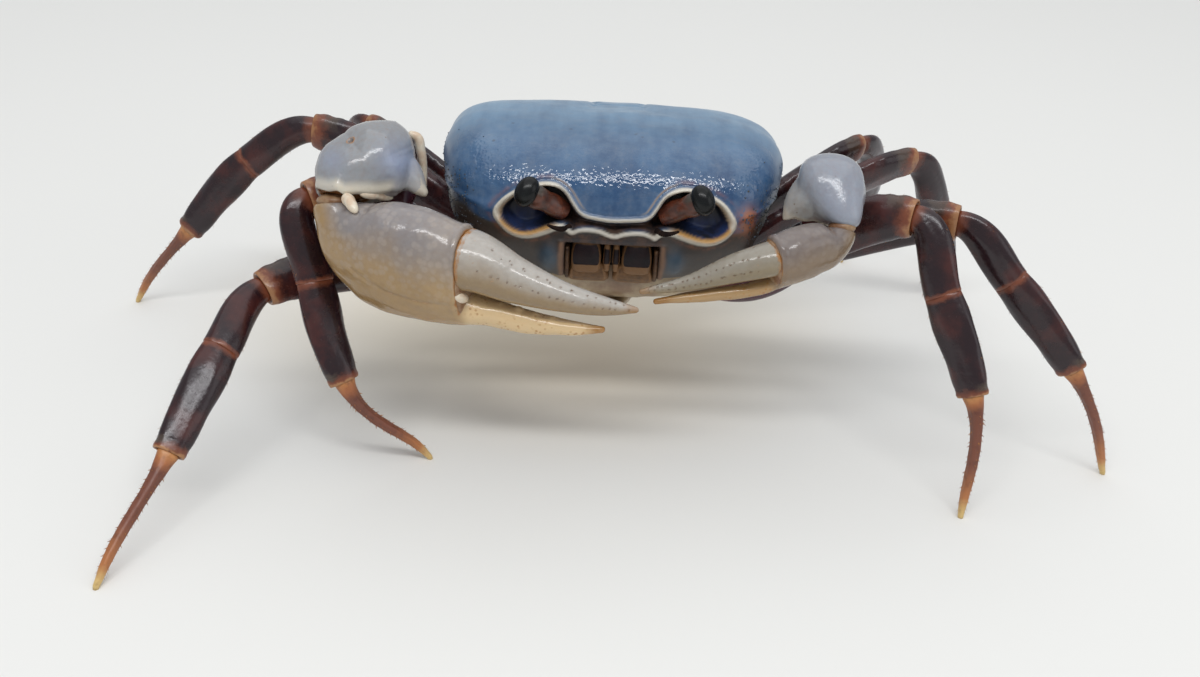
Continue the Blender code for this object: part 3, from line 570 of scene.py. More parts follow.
@dataclass(frozen=True)
class ShellFinish:
    """Glossy slate-blue shell with cream rims; its lower sides olive and brown, partly their own colour and partly
    painted shade; its orbits and mouth hollow painted dark as shade.
    """

    blue: tuple = srgb(40, 79, 119)
    deep: tuple = srgb(28, 61, 100)
    pale: tuple = srgb(126, 159, 185)
    # olive and brown: the lower sides' own olive and brown, laid on darker as painted shade; brown also marks small
    # specks
    olive: tuple = srgb(54, 50, 44)
    brown: tuple = srgb(44, 34, 28)
    lobe: tuple = srgb(44, 64, 80)
    mouth: tuple = srgb(66, 44, 32)
    rim: tuple = srgb(206, 200, 186)
    ochre: tuple = srgb(184, 138, 74)
    # well: near-black painted shade in the orbits, the mouth slot and under the lip; pool is its bluer part on the
    # orbits' lower floor
    well: tuple = srgb(9, 12, 20)
    pool: tuple = srgb(34, 56, 104)
    rust: tuple = srgb(146, 84, 50)
    frame: tuple = srgb(118, 84, 58)

    def material(self) -> bpy.types.Material:
        """Builds the finish."""
        s = Shade("shell_blue")
        fine = s.noise(0.9, 4.0, 0.6) - 0.5
        streaks = s.noise(1.9, 4.0, 0.6, s.scaled(1.0, 0.16, 0.5)) - 0.5
        # Lower sides: their own olive and brown colour and painted shade, from the low mask with a little noise
        edge = (s.value("low") + s.sway(2.2, 0.5)).clamp()
        hollow, rim, glint = s.value("hollow"), s.value("rim"), s.value("glint")
        # Painted shade in the hollows: near black, bluer on the orbits' lower floor, brown in the mouth slot
        pool = s.layers(
            self.well,
            (s.value("pool") * s.noise(1.4).step(0.2, 0.6), self.pool),
            (s.value("slot") * s.noise(0.9, 4.0).step(0.3, 0.6), self.mouth),
        )
        colour = s.layers(
            self.blue,
            (s.noise(6.0).step(0.35, 0.7), self.deep),
            (s.value("rear") * (0.72 + s.sway(2.6, 0.5) + streaks * 0.9), self.pale),
            (fine * 0.5 + streaks * 0.35 + 0.08, self.pale),
            (edge.step(0.2, 0.62), self.olive),
            (edge.step(0.5, 0.95) * (s.noise(1.5, 4.0) * 0.8 + 0.5), self.brown),
            (s.cells(1.5).step(0.16, 0.05) * s.noise(5.0).step(0.5, 0.68) * 0.5, self.brown),
            (s.value("lobe"), self.lobe),
            (hollow, pool),
            (s.value("stain") * s.noise(0.8, 4.0).step(0.35, 0.6), self.rust),
            ((s.value("frame") + fine * 0.5).clamp(), self.frame),
            (rim, s.mix((s.value("ochre") + fine * 0.7).clamp(), self.rim, self.ochre)),
            (s.value("crust") * s.noise(0.5, 4.0).step(0.34, 0.46), self.rust),
        )
        normal = s.grain(
            (s.noise(0.28, 0.5) * (glint * 0.9 + 0.1), 0.06, 1.0),
            (s.cells(0.36).step(0.0, 0.36) * glint, 0.012, 1.0),
            (s.noise(1.1, 2.0), 0.012, 0.5),
            (s.noise(2.6, 2.0), 0.02, 0.4),
        )
        rough = 0.32 - glint * 0.22 + fine * 0.06 + rim * 0.1 + edge * 0.2 + hollow * 0.2
        return s.finish(colour, rough, Normal=normal, Specular_IOR_Level=0.72, Coat_Weight=0.04, Coat_Roughness=0.4)


@dataclass(frozen=True)
class PearlFinish:
    """Pearly claw cuticle, mottled on the palm, cream below and ochre at the joints."""

    name: str = "claw_pearl"
    grey: tuple = srgb(136, 131, 131)
    white: tuple = srgb(158, 130, 90)
    cream: tuple = srgb(166, 134, 90)
    net: tuple = srgb(176, 166, 156)
    butter: tuple = srgb(216, 188, 144)
    # sheen: bluish tint of the painted sheen on the carpus domes
    sheen: tuple = srgb(146, 160, 192)
    # shade: a darker tone, laid at random and as the brown skin and painted shade under the carpus lip
    shade: tuple = srgb(112, 90, 72)
    ochre: tuple = srgb(156, 108, 58)
    pit: tuple = srgb(104, 72, 42)
    scab: tuple = srgb(164, 112, 56)
    tip: tuple = srgb(150, 106, 50)
    low_from: float = -0.85
    low_to: float = 0.15
    low_start: float = 0.35
    mottle: float = 1.0
    pits: float = 0.0

    def material(self) -> bpy.types.Material:
        """Builds the finish."""
        s = Shade(self.name)
        broad, patchy = s.noise(3.5), s.noise(1.3, 4.0) - 0.5
        fall = s.value("above") * -1.0 + (broad - 0.5) * 0.7 + patchy * 0.3
        net = s.cells(0.66).step(0.6, 0.25) * s.value("net") * s.noise(2.2).step(0.12, 0.5)
        stain = (s.value("joint") + s.sway(0.7, 1.1)).step(0.45, 0.95)
        scabs = s.noise(1.7, 5.0, 0.65).step(0.62, 0.68) * s.value("scabs")
        butter, dots = s.value("butter"), s.value("dots")
        freckles = s.cells(0.36).step(0.42, 0.22) * s.noise(1.6).step(0.4, 0.6) * butter * s.value("finger")
        colour = s.layers(
            self.grey,
            (fall.step(self.low_from, self.low_to), self.white),
            (fall.step(self.low_start, 1.0), self.cream),
            (net * (0.26 * self.mottle), self.net),
            (s.sway(0.5, 0.5, 3.0) + 0.06, self.shade),
            # Painted bluish sheen where the carpus dome catches highlights
            (s.value("sheen") * (0.3 + broad * 0.9), self.sheen),
            (butter, self.butter),
            (stain, self.ochre),
            # Brown skin and painted shade in the recess under the carpus lip
            ((s.value("shade") + patchy * 0.4).step(0.2, 0.8), self.shade),
            (s.cells(1.1).step(0.1, 0.03) * s.noise(3.0).step(0.48, 0.62) * 0.8, self.pit),
            (scabs * 0.85, self.scab),
            (freckles * 0.75, self.scab),
            (dots * self.pits, self.pit),
            ((s.value("tip") * (0.6 + s.noise(0.4) * 0.6)).clamp(), self.tip),
        )
        normal = s.grain(
            (s.noise(0.4, 1.0), 0.03, 0.8), (s.noise(0.9, 2.0), 0.04, 0.6), (s.noise(1.8, 2.0), 0.05, 0.5),
            (dots * -1.0, 0.08, 1.0),
        )
        rough = 0.19 + (broad - 0.5) * 0.12 + stain * 0.3 + scabs * 0.3
        return s.finish(
            colour, rough, Normal=normal, Coat_Weight=0.2, Coat_Roughness=0.15,
            Subsurface_Weight=0.1, Subsurface_Radius=(0.0012, 0.0008, 0.0006), Subsurface_Scale=1.0,
        )


@dataclass(frozen=True)
class LegFinish:
    """Glossy aubergine-black cuticle that turns orange and cream at both ends."""

    name: str
    start: float
    end: float
    pale_end: float = 0.0
    dark: tuple = srgb(36, 20, 23)
    wine: tuple = srgb(70, 33, 29)
    orange: tuple = srgb(122, 66, 42)
    cream: tuple = srgb(168, 122, 80)
    grey: tuple = srgb(76, 64, 54)

    def material(self) -> bpy.types.Material:
        """Builds the finish."""
        s = Shade(self.name)
        place = s.value("along") + s.sway(1.6, 0.16, 5.0, 0.65)
        from_end = place * -1.0 + 1.0
        warm = (place.step(self.start, 0.0) + from_end.step(self.end, self.end * 0.25)).clamp()
        warm = warm * (0.55 + s.noise(0.9, 4.0) * 0.7)
        patch = from_end.step(self.end * 1.3, self.end * 0.95) * from_end.step(self.end * 0.3, self.end * 0.6)
        colour = s.layers(
            self.dark,
            (s.noise(3.0).step(0.4, 0.72), self.wine),
            (warm.clamp(), self.orange),
            (patch * s.value("above").step(0.2, 0.9) * self.pale_end, self.grey),
            ((from_end.step(self.end * 0.3, 0.0) * self.pale_end).clamp(), self.cream),
            (s.value("inner") * 0.5, self.orange),
            (s.cells(0.9).step(0.09, 0.03) * s.noise(2.6).step(0.5, 0.66) * 0.6, self.grey),
        )
        normal = s.grain((s.noise(0.4), 0.03, 0.7), (s.noise(1.3, 2.0), 0.07, 0.6))
        rough = 0.24 + s.sway(1.2, 0.22, 3.0) + warm * 0.1
        return s.finish(
            colour, rough, Normal=normal, Coat_Weight=0.12, Coat_Roughness=0.1,
            Specular_IOR_Level=0.45, Coat_Tint=srgb(214, 220, 255),
        )


@dataclass(frozen=True)
class ToeFinish:
    """Red-brown toe with an orange collar and an amber, horny tip."""

    collar: tuple = srgb(186, 128, 76)
    brown: tuple = srgb(108, 62, 46)
    amber: tuple = srgb(176, 112, 64)
    tip: tuple = srgb(214, 184, 120)

    def material(self) -> bpy.types.Material:
        """Builds the finish."""
        s = Shade("foot_amber")
        stops = (
            (0.0, self.collar), (0.06, srgb(160, 98, 58)), (0.14, self.brown),
            (0.55, srgb(120, 70, 52)), (0.84, self.amber), (0.97, self.tip),
        )
        colour = s.layers(
            s.ramp(s.value("along") + s.sway(1.6, 0.14), stops),
            (s.noise(0.7, 4.0).step(0.5, 0.75) * 0.45, srgb(74, 38, 30)),
            (s.value("inner"), self.collar),
        )
        return s.finish(colour, 0.38 + s.sway(0.9, 0.2, 3.0), Normal=s.grain((s.noise(0.5), 0.04, 0.8)))


@dataclass(frozen=True)
class PlainFinish:
    """A two-tone mottled cuticle for small and lower pieces, with an own colour where it has an edge."""

    name: str
    one: tuple
    two: tuple
    size: float = 1.5
    rough: float = 0.4
    grain: float = 0.04
    coat: float = 0.0
    edge: tuple | None = None
    shine: float = 0.5

    def material(self) -> bpy.types.Material:
        """Builds the finish."""
        s = Shade(self.name)
        broad = s.noise(self.size, 4.0)
        colour = s.mix(broad.step(0.32, 0.68), self.one, self.two)
        if self.edge is not None:
            colour = s.mix((s.value("joint") + s.sway(0.6, 0.5)).step(0.3, 0.8), colour, self.edge)
        normal = s.grain((s.noise(0.3), self.grain, 0.7), (s.noise(1.4, 2.0), self.grain * 2, 0.5))
        return s.finish(
            colour, self.rough + (broad - 0.5) * 0.2, Normal=normal, Coat_Weight=self.coat, Coat_Roughness=0.08,
            Specular_IOR_Level=self.shine,
        )


@dataclass(frozen=True)
class EyeFinish:
    """Glossy black-green faceted eye."""

    black: tuple = srgb(6, 8, 10)
    green: tuple = srgb(18, 22, 22)

    def material(self) -> bpy.types.Material:
        """Builds the finish."""
        s = Shade("cornea_black")
        facets = s.cells(0.07)
        colour = s.mix(s.noise(1.2).step(0.4, 0.7), self.black, self.green)
        return s.finish(colour, 0.2 + facets * 0.1, Normal=s.grain((facets, 0.0012, 0.5)), Specular_IOR_Level=0.3)


# Pieces


@dataclass(frozen=True)
class View:
    """The camera that looks as the photograph does, in millimetres and pixels."""

    place: tuple = (1.382, -109.484, 74.729)
    right: tuple = (0.9987, 0.0268, 0.0429)
    up: tuple = (-0.0506, 0.5297, 0.8467)
    forward: tuple = (0.0, 0.8478, -0.5304)
    focal: float = 1258.69
    width: int = 1200
    height: int = 677
    sensor: float = 36.0
    nearest_farthest: tuple = (90, 160)

    def spot(self, tree: BVHTree, px: float, py: float) -> Array:
        """The first point of a surface behind a pixel of the photograph, or where the ray passes closest."""
        way = np.array(self.forward) * self.focal
        way = way + np.array(self.right) * (px - self.width / 2) + np.array(self.up) * (self.height / 2 - py)
        start, way = Vector(self.place), Vector(unit(way))
        hit = tree.ray_cast(start, way)[0]
        if hit is None:
            passed = [start + way * float(reach) for reach in np.linspace(*self.nearest_farthest, 141)]
            hit = min(passed, key=lambda point: tree.find_nearest(point)[3])
        return np.array(hit)

    def spots(self, tree: BVHTree, pixels: Sequence[tuple[float, float]]) -> Array:
        """The points of a surface behind several pixels."""
        return np.array([self.spot(tree, *pixel) for pixel in pixels])

    def scale(self, points: Array) -> Array:
        """Millimetres to a pixel at each point."""
        return (points - np.array(self.place)) @ np.array(self.forward) / self.focal

    def pixels(self, points: Array) -> Array:
        """Where points show in the photograph."""
        away, deep = points - np.array(self.place), self.scale(points)
        across, down = away @ np.array(self.right) / deep, away @ np.array(self.up) / deep
        return np.stack((self.width / 2 + across, self.height / 2 - down), axis=1)

    def reshaped(self, points: Array, centre: tuple, reach: Sequence[tuple[float, float]]) -> Array:
        """Points moved in or out across the view.

        Args:
            points: the points.
            centre: a point on the axis that stays, in pixels.
            reach: pairs of clock angle in degrees and the factor for the distance from that axis.

        Returns:
            The moved points.
        """
        seen = self.pixels(points)
        across, up = seen[:, 0] - centre[0], centre[1] - seen[:, 1]
        angles, factors = np.array(reach, float).T
        factor = np.interp(np.degrees(np.arctan2(up, across)), angles, factors, period=360.0) - 1
        move = across[:, None] * np.array(self.right) + up[:, None] * np.array(self.up)
        return points + factor[:, None] * move * self.scale(points)[:, None]

    def make(self) -> None:
        """Sets the scene's camera."""
        data = bpy.data.cameras.new("camera")
        data.sensor_width = self.sensor
        data.lens = self.focal * self.sensor / self.width
        data.clip_start = 0.001
        camera = thing("camera", data)
        columns = (self.right, self.up, tuple(-v for v in self.forward))
        matrix = Matrix([[column[i] for column in columns] for i in range(3)]).to_4x4()
        matrix.translation = Vector(self.place) * MM
        camera.matrix_world = matrix
        bpy.context.scene.camera = camera


VIEW = View()


def search(surface: Surface) -> BVHTree:
    """A search tree of a surface in millimetres."""
    return BVHTree.FromPolygons([Vector(p) for p in surface.points], surface.faces)


def line_distance(points: Array, line: Array) -> Array:
    """The distance from each point to a line of straight pieces."""
    best = np.full(len(points), 1e9)
    for a, b in zip(line[:-1], line[1:]):
        way = b - a
        share = np.clip(((points - a) @ way) / max(float(way @ way), 1e-9), 0.0, 1.0)
        best = np.minimum(best, np.linalg.norm(points - a - share[:, None] * way, axis=1))
    return best


def loop_distance(points: Array, loop: Array) -> Array:
    """The distance from flat points to a closed outline, negative inside it."""
    best = line_distance(points, np.vstack((loop, loop[:1])))
    inside = np.zeros(len(points), bool)
    for a, b in zip(loop, np.roll(loop, -1, axis=0)):
        crosses = (a[1] > points[:, 1]) != (b[1] > points[:, 1])
        if a[1] != b[1]:
            x = a[0] + (points[:, 1] - a[1]) * (b[0] - a[0]) / (b[1] - a[1])
            inside ^= crosses & (points[:, 0] < x)
    return np.where(inside, -best, best)


def rounded(line: Array, closed: bool = False) -> Array:
    """A line with its corners cut off twice; an open one keeps its ends."""
    for _ in range(2):
        after = np.roll(line, -1, axis=0)
        cut = np.stack((line * 0.75 + after * 0.25, line * 0.25 + after * 0.75), axis=1).reshape(-1, line.shape[1])
        line = cut if closed else np.vstack((line[:1], cut[:-2], line[-1:]))
    return line


def thing(name: str, data: bpy.types.ID) -> bpy.types.Object:
    """A new object in the scene."""
    made = bpy.data.objects.new(name, data)
    bpy.context.scene.collection.objects.link(made)
    return made


def grown(piece: bpy.types.Object) -> bpy.types.Mesh:
    """The mesh that an object's modifiers make; the object goes."""
    made = bpy.data.meshes.new_from_object(piece.evaluated_get(bpy.context.evaluated_depsgraph_get()))
    piece.modifiers.clear()
    bpy.data.objects.remove(piece)
    return made


def fused(surfaces: Sequence[Surface], voxel: float, smooth: int) -> Surface:
    """Several closed forms grown into one skin.

    Args:
        surfaces: closed forms that overlap.
        voxel: the new skin's face size in millimetres.
        smooth: how often the skin is smoothed.

    Returns:
        The skin, without values.
    """
    whole = reduce(Surface.joined, surfaces)
    mesh = bpy.data.meshes.new("fuse")
    mesh.from_pydata(whole.points.tolist(), [], whole.faces)
    piece = thing("fuse", mesh)
    remesh = piece.modifiers.new("remesh", "REMESH")
    remesh.mode = "VOXEL"
    remesh.voxel_size = voxel
    relax = piece.modifiers.new("relax", "SMOOTH")
    relax.factor = 0.5
    relax.iterations = smooth
    made = grown(piece)
    points = np.empty(len(made.vertices) * 3)
    made.vertices.foreach_get("co", points)
    faces = [list(face.vertices) for face in made.polygons]
    bpy.data.meshes.remove(made)
    return Surface(points.reshape(-1, 3), faces)


class Workshop:
    """Holds the finishes and hands each finished piece to the frame."""

    def __init__(self) -> None:
        """Builds every finish once."""
        finishes = {
            "shell": ShellFinish(),
            "palm": PearlFinish(pits=0.9),
            "carpus": PearlFinish(
                "claw_pearl_smooth", srgb(140, 143, 146), srgb(160, 158, 154), srgb(192, 184, 168),
                # shade here: brown-orange for the skin and painted shade under the lip
                butter=srgb(214, 206, 188), shade=srgb(128, 84, 50),
                low_from=-0.2, low_to=0.6, low_start=0.7, mottle=0.3, pits=0.8,
            ),
            "finger": PearlFinish(
                "claw_finger", srgb(174, 169, 162), srgb(148, 126, 94), srgb(142, 114, 76), mottle=0.2, pits=0.7
            ),
            # The small claw's palm and finger: darker copies of the palm and finger finishes, as painted shade, since
            # that claw sits in shade
            "palm_small": PearlFinish(
                "claw_palm_small", srgb(116, 107, 104), srgb(128, 108, 86), srgb(142, 116, 82),
                butter=srgb(172, 140, 96), mottle=0.35, pits=0.9,
            ),
            "finger_small": PearlFinish(
                "claw_finger_small", srgb(146, 140, 128), srgb(138, 124, 98), srgb(136, 116, 84),
                butter=srgb(188, 164, 118), mottle=0.2, pits=0.7,
            ),
            "merus": LegFinish("leg_dark_merus", 0.03, 0.1, 0.75),
            "carpus_leg": LegFinish("leg_dark_carpus", 0.14, 0.06, 0.1),
            "propodus": LegFinish("leg_dark_propodus", 0.07, 0.1, 0.9),
            "arm": LegFinish("leg_dark_arm", 0.08, 0.1, dark=srgb(70, 34, 42), wine=srgb(98, 46, 46)),
            "toe": ToeFinish(),
            "spine": PlainFinish("spine_amber", srgb(190, 132, 66), srgb(132, 72, 40), 1.0),
            "granule": PlainFinish("granule_blue", srgb(52, 66, 82), srgb(72, 70, 66), 2.0, 0.6),
            "mouth": PlainFinish(
                "mouth_brown", srgb(16, 9, 14), srgb(28, 15, 18), 1.2, 0.45, edge=srgb(120, 88, 58), shine=0.2
            ),
            "stalk": PlainFinish(
                "stalk_orange", srgb(98, 50, 32), srgb(60, 32, 24), 0.9, 0.3, coat=0.1, edge=srgb(52, 46, 38)
            ),
            "antenna": PlainFinish("antenna_brown", srgb(44, 30, 24), srgb(24, 17, 16), 0.5, 0.85, shine=0.1),
            "under": PlainFinish("underside", srgb(186, 168, 138), srgb(132, 106, 84), 3.0, 0.4, 0.05, 0.2),
            "tooth": PlainFinish("tooth_cream", srgb(224, 214, 194), srgb(208, 184, 158), 0.8, 0.28, 0.02, 0.3),
            "claw_membrane": PlainFinish("claw_membrane", srgb(156, 128, 98), srgb(118, 80, 50), 0.9),
            "cornea": EyeFinish(),
        }
        self.finishes = {key: finish.material() for key, finish in finishes.items()}

    def add(self, name: str, mesh: bpy.types.Mesh, finish: str, slot: str, *nodes: str) -> None:
        """Puts a piece in the scene.

        Args:
            name: the piece's name.
            mesh: its mesh in metres, in place.
            finish: which of the workshop's finishes it gets.
            slot: not used.
            nodes: the CAD nodes it stands for.
        """
        mesh.materials.clear()
        mesh.materials.append(self.finishes[finish])
        piece = thing(name, mesh)
        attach(piece, "root")
        if nodes:
            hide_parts(*nodes)
        log.info("%s: %d faces", name, len(mesh.polygons))

    def skin(self, surface: Surface, node: str, finish: str, slot: str) -> None:
        """Puts the piece that stands for one CAD node in the scene."""
        name = node + "_skin"
        self.add(name, surface.mesh(name), finish, slot, node)


class SproutShape(Enum):
    """What a sprout looks like."""

    SPINE = "spine"
    GRANULE = "granule"


@dataclass
class Sprouts:
    """Many small spines or granules set on points by Geometry Nodes.

    Args:
        shape: spine or granule.
        length: a spine's length or a granule's height in millimetres, for a size of 1.
        radius: its radius at the root in millimetres, for a size of 1.
        sides: faces round a spine.
    """

    shape: SproutShape
    length: float
    radius: float
    sides: int = 6
    points: list[Array] = field(default_factory=list)
    aims: list[Array] = field(default_factory=list)
    sizes: list[float] = field(default_factory=list)

    def plant(self, points: Array, aims: Array, sizes: Array) -> None:
        """Adds points in millimetres with their directions and sizes."""
        self.points.extend(points)
        self.aims.extend(aims)
        self.sizes.extend(sizes)

    def tree(self, finish: bpy.types.Material) -> bpy.types.NodeTree:
        """The node tree that sets one form on every point."""
        graph = Graph(bpy.data.node_groups.new(f"{self.shape.value}_sprouts", "GeometryNodeTree"))
        face = graph.tree.interface
        face.new_socket("Geometry", in_out="INPUT", socket_type="NodeSocketGeometry")
        face.new_socket("Geometry", in_out="OUTPUT", socket_type="NodeSocketGeometry")
        for label, kind in (("Length", "Float"), ("Radius", "Float"), ("Sides", "Int"), ("Seed", "Int")):
            face.new_socket(label, in_out="INPUT", socket_type="NodeSocket" + kind)
        enter = graph.node("NodeGroupInput", {}, {}).outputs
        if self.shape is SproutShape.SPINE:
            inputs = {"Vertices": enter["Sides"], "Radius Bottom": enter["Radius"], "Depth": enter["Length"]}
            form = graph.node("GeometryNodeMeshCone", {"fill_type": "NGON"}, inputs).outputs["Mesh"]
        else:
            ball_node = graph.node("GeometryNodeMeshIcoSphere", {}, {"Radius": enter["Radius"], "Subdivisions": 2})
            form = ball_node.outputs["Mesh"]
        aim = graph.node("GeometryNodeInputNamedAttribute", {"data_type": "FLOAT_VECTOR"}, {"Name": "aim"})
        size = graph.node("GeometryNodeInputNamedAttribute", {"data_type": "FLOAT"}, {"Name": "size"})
        turn = graph.node("FunctionNodeAlignRotationToVector", {"axis": "Z"}, {"Vector": aim.outputs["Attribute"]})
        vary = graph.node("FunctionNodeRandomValue", {"data_type": "FLOAT"}, {2: 0.75, 3: 1.25, "Seed": enter["Seed"]})
        inputs = {0: size.outputs["Attribute"], 1: vary.outputs[1]}
        grown = graph.node("ShaderNodeMath", {"operation": "MULTIPLY"}, inputs).outputs[0]
        inputs = {
            "Points": enter["Geometry"], "Instance": form, "Rotation": turn.outputs["Rotation"], "Scale": grown,
        }
        placed = graph.node("GeometryNodeInstanceOnPoints", {}, inputs).outputs["Instances"]
        real = graph.node("GeometryNodeRealizeInstances", {}, {"Geometry": placed}).outputs["Geometry"]
        done = graph.node("GeometryNodeSetMaterial", {}, {"Geometry": real, "Material": finish}).outputs["Geometry"]
        graph.node("NodeGroupOutput", {}, {"Geometry": done})
        return graph.tree

    def mesh(self, name: str, finish: bpy.types.Material) -> bpy.types.Mesh:
        """Grows the sprouts into one plain mesh."""
        base = bpy.data.meshes.new(name + "_points")
        base.from_pydata((np.array(self.points) * MM).tolist(), [], [])
        aims = base.attributes.new("aim", "FLOAT_VECTOR", "POINT")
        aims.data.foreach_set("vector", np.array(self.aims, dtype=np.float32).ravel())
        sizes = base.attributes.new("size", "FLOAT", "POINT")
        sizes.data.foreach_set("value", np.array(self.sizes, dtype=np.float32))
        piece = thing(name + "_points", base)
        modifier = piece.modifiers.new("sprouts", "NODES")
        modifier.node_group = self.tree(finish)
        chosen = {"Length": self.length * MM, "Radius": self.radius * MM, "Sides": self.sides, "Seed": SEED}
        for item in modifier.node_group.interface.items_tree:
            if item.in_out == "INPUT" and item.name in chosen:
                modifier[item.identifier] = chosen[item.name]
        made = grown(piece)
        made.name = name
        made.shade_smooth()
        return made


@dataclass
class Carapace:
    """The upper shell with its face: orbits, front edge, mouth frame and back grooves.

    Sizes are in millimetres of the body frame, x to the animal's left, y backwards, z up.
    """

    half_width: float = 16.9
    front: float = 12.3
    rear: float = 13.2
    top: float = 7.5
    under: float = 7.9
    power: float = 2.6
    side_power: float = 3.4
    rear_taper: float = 0.06
    low_taper: float = 0.8
    floor: float = -5.2
    mouth_half: float = 4.3
    mouth_top: float = -1.9
    mouth_back: float = -8.1
    hollow: tuple = (
        (-0.12, 0.38), (-1.4, 0.52), (-2.79, 0.76), (-3.54, 1.75), (-4.08, 2.61), (-4.93, 3.23), (-5.86, 3.36),
        (-7.4, 3.08), (-8.77, 2.47), (-9.98, 1.56), (-10.59, 0.44), (-10.11, -0.45), (-9.3, -1.23), (-8.26, -1.63),
        (-7.22, -1.53), (-5.99, -1.03), (-4.78, -0.44), (-4.2, -0.6), (-3.63, -1.2), (-2.93, -0.73), (-1.29, -0.75),
        (-0.45, -1.13), (0.27, -1.27), (0.97, -0.95), (2.39, -0.77), (3.32, -1.04), (3.75, -1.36), (4.2, -0.7),
        (5.04, -0.53), (6.29, -0.99), (7.57, -1.45), (8.82, -1.55), (10.03, -1.01), (10.77, 0.06), (10.47, 1.13),
        (9.65, 2.25), (7.9, 3.1), (6.0, 3.44), (4.81, 3.03), (4.13, 2.43), (3.67, 1.61), (3.03, 0.64), (1.4, 0.5),
    )
    grooves: tuple = (
        ((2.3, 1.2), (2.6, 3.6), (2.2, 6.2)),
        ((2.5, 3.4), (0.0, 3.8)),
        ((3.0, 0.8), (5.6, -1.2), (8.0, -3.8), (10.6, -5.4)),
        ((2.2, 6.2), (4.2, 8.8), (6.5, 9.6)),
    )

    def radius(self, way: Array) -> Array:
        """Distance from the body's centre to the plain shell in a direction."""
        x, y, z = way[..., 0], way[..., 1], way[..., 2]
        wide = self.half_width * (1 - self.rear_taper * np.maximum(y, 0) ** 2)
        wide = wide * (1 - self.low_taper * np.maximum(-z, 0) ** 1.5)
        deep = np.where(y < 0, self.front, self.rear)
        tall = np.where(z > 0, self.top, self.under)
        section = np.abs(y / deep) ** self.power + np.abs(z / tall) ** self.power
        total = np.abs(x / wide) ** self.side_power + section ** (self.side_power / self.power)
        return total ** (-1 / self.side_power)

    def grid(self) -> tuple[Array, Array, list[list[int]]]:
        """Points, outward directions and faces of the plain shell, finest across the face."""
        tilt = np.concatenate(
            (np.linspace(0, 45, 36)[1:], np.linspace(45, 135, 180)[1:], np.linspace(135, 180, 36)[1:-1])
        )
        spans = ((-156, -40, 70), (-40, -17, 22), (-17, 24, 78), (24, 50, 20), (50, 204, 80))
        turn = np.concatenate([np.linspace(*span, endpoint=False) for span in spans])
        t, u = np.radians(tilt)[:, None], np.radians(180 - turn)[None, :]
        way = np.stack((-np.cos(t) * np.ones_like(u), np.sin(t) * np.cos(u), np.sin(t) * np.sin(u)), axis=-1)
        way = np.vstack((way.reshape(-1, 3), (-1.0, 0.0, 0.0), (1.0, 0.0, 0.0)))
        points = way * self.radius(way)[:, None]
        wide = np.abs(points[:, 0])
        inward = 0.045 * step(7.0, 3.0, points[:, 2]) + 0.085 * step(4.0, -0.5, points[:, 2])
        share = np.where(points[:, 0] > 0, 1.0, 0.55)
        points[:, 0] *= 1 - share * inward * step(10.8, 16.0, wide)
        return points, way, closed_faces(len(tilt), len(turn))

    def back(self, points: Array) -> Array:
        """Height added to the plain back: grooves, swollen gill chambers and low crests."""
        x, y = np.abs(points[:, 0]), points[:, 1]
        flat = np.stack((x, y), axis=1)
        height = 0.3 * bell(x - 8.8, 3.6) * bell(y - 2.5, 5.0) + 0.18 * bell(x, 2.2) * bell(y + 1.5, 2.6)
        height += np.where(points[:, 0] > 0, 0.345, 1.15) * bell(x - 13.2, 2.9) * bell(y - 1.0, 7.5)
        for groove in self.grooves:
            line = rounded(np.array(groove, float))
            height -= (0.02 + 0.2 * step(0.0, 5.0, y)) * bell(line_distance(flat, line), 0.42)
        crest = line_distance(flat, np.array(((1.2, -9.6), (2.6, -9.9), (4.0, -9.5))))
        crest = np.minimum(crest, line_distance(flat, np.array(((5.2, -9.2), (8.0, -8.9), (10.8, -7.6)))))
        height += 0.025 * bell(crest, 0.5)
        return height * step(1.0, 4.5, points[:, 2])

    def surface(self) -> Surface:
        """The carved shell and the values that colour it, in the body frame."""
        points, way, faces = self.grid()
        x, z = points[:, 0].copy(), points[:, 2].copy()
        wide = np.abs(x)
        points += way * self.back(points)[:, None]
        points += way * (0.02 * ripple(points, 3, 2.4) + 0.08 * ripple(points, 4, 6.0))[:, None]
        ahead = step(-3.0, -6.0, points[:, 1])
        edge = np.full(len(points), 9.0)
        near = (points[:, 1] < -4) & (np.abs(z) < 6)
        outline = rounded(np.array(self.hollow, float), closed=True)
        edge[near] = loop_distance(np.stack((x[near], z[near]), axis=1), outline) + 0.2
        inside = step(0.0, 0.8, -edge)
        depth = 1.5 + 1.6 * step(3.0, 4.4, wide) - 0.9 * step(5.8, 7.4, wide) - 0.9 * step(8.6, 10.4, wide)
        points[:, 1] += inside * depth * ahead
        upper = step(-0.2, 0.6, z)
        slim = 1 - 0.35 * upper
        orbit = step(4.4, 5.8, wide)
        lip = step(4.6, 3.8, wide) * step(-0.3, -0.6, z)
        ridge = bell(edge - 0.22 + 0.2 * orbit, (0.26 + 0.14 * orbit) * slim)
        ridge = ridge * (0.3 + 0.06 * step(4.6, 3.2, wide) * upper - 0.1 * lip)
        ridge += bell(edge - 0.62, 0.1) * 0.05 * upper - bell(edge - 0.46, 0.12) * 0.06
        beads = 0.035 * np.sin(x * 11.0) * np.sin(z * 11.0) * bell(edge - 0.24, 0.3)
        points += way * ((ridge + beads) * ahead)[:, None]
        tooth = bell(wide - 11.3, 0.8) * bell(z - 0.7, 0.7) * 0.35
        side_line = bell(z - 0.9 - 0.12 * (wide - 11), 0.3) * step(11.2, 12.4, wide) * step(4.0, 0.0, points[:, 1])
        points += way * (tooth * ahead + side_line * 0.16)[:, None]
        mouth = np.minimum(self.mouth_half - wide, self.mouth_top - z)
        open_mouth = step(0.0, 0.4, mouth) * (points[:, 1] < self.mouth_back)
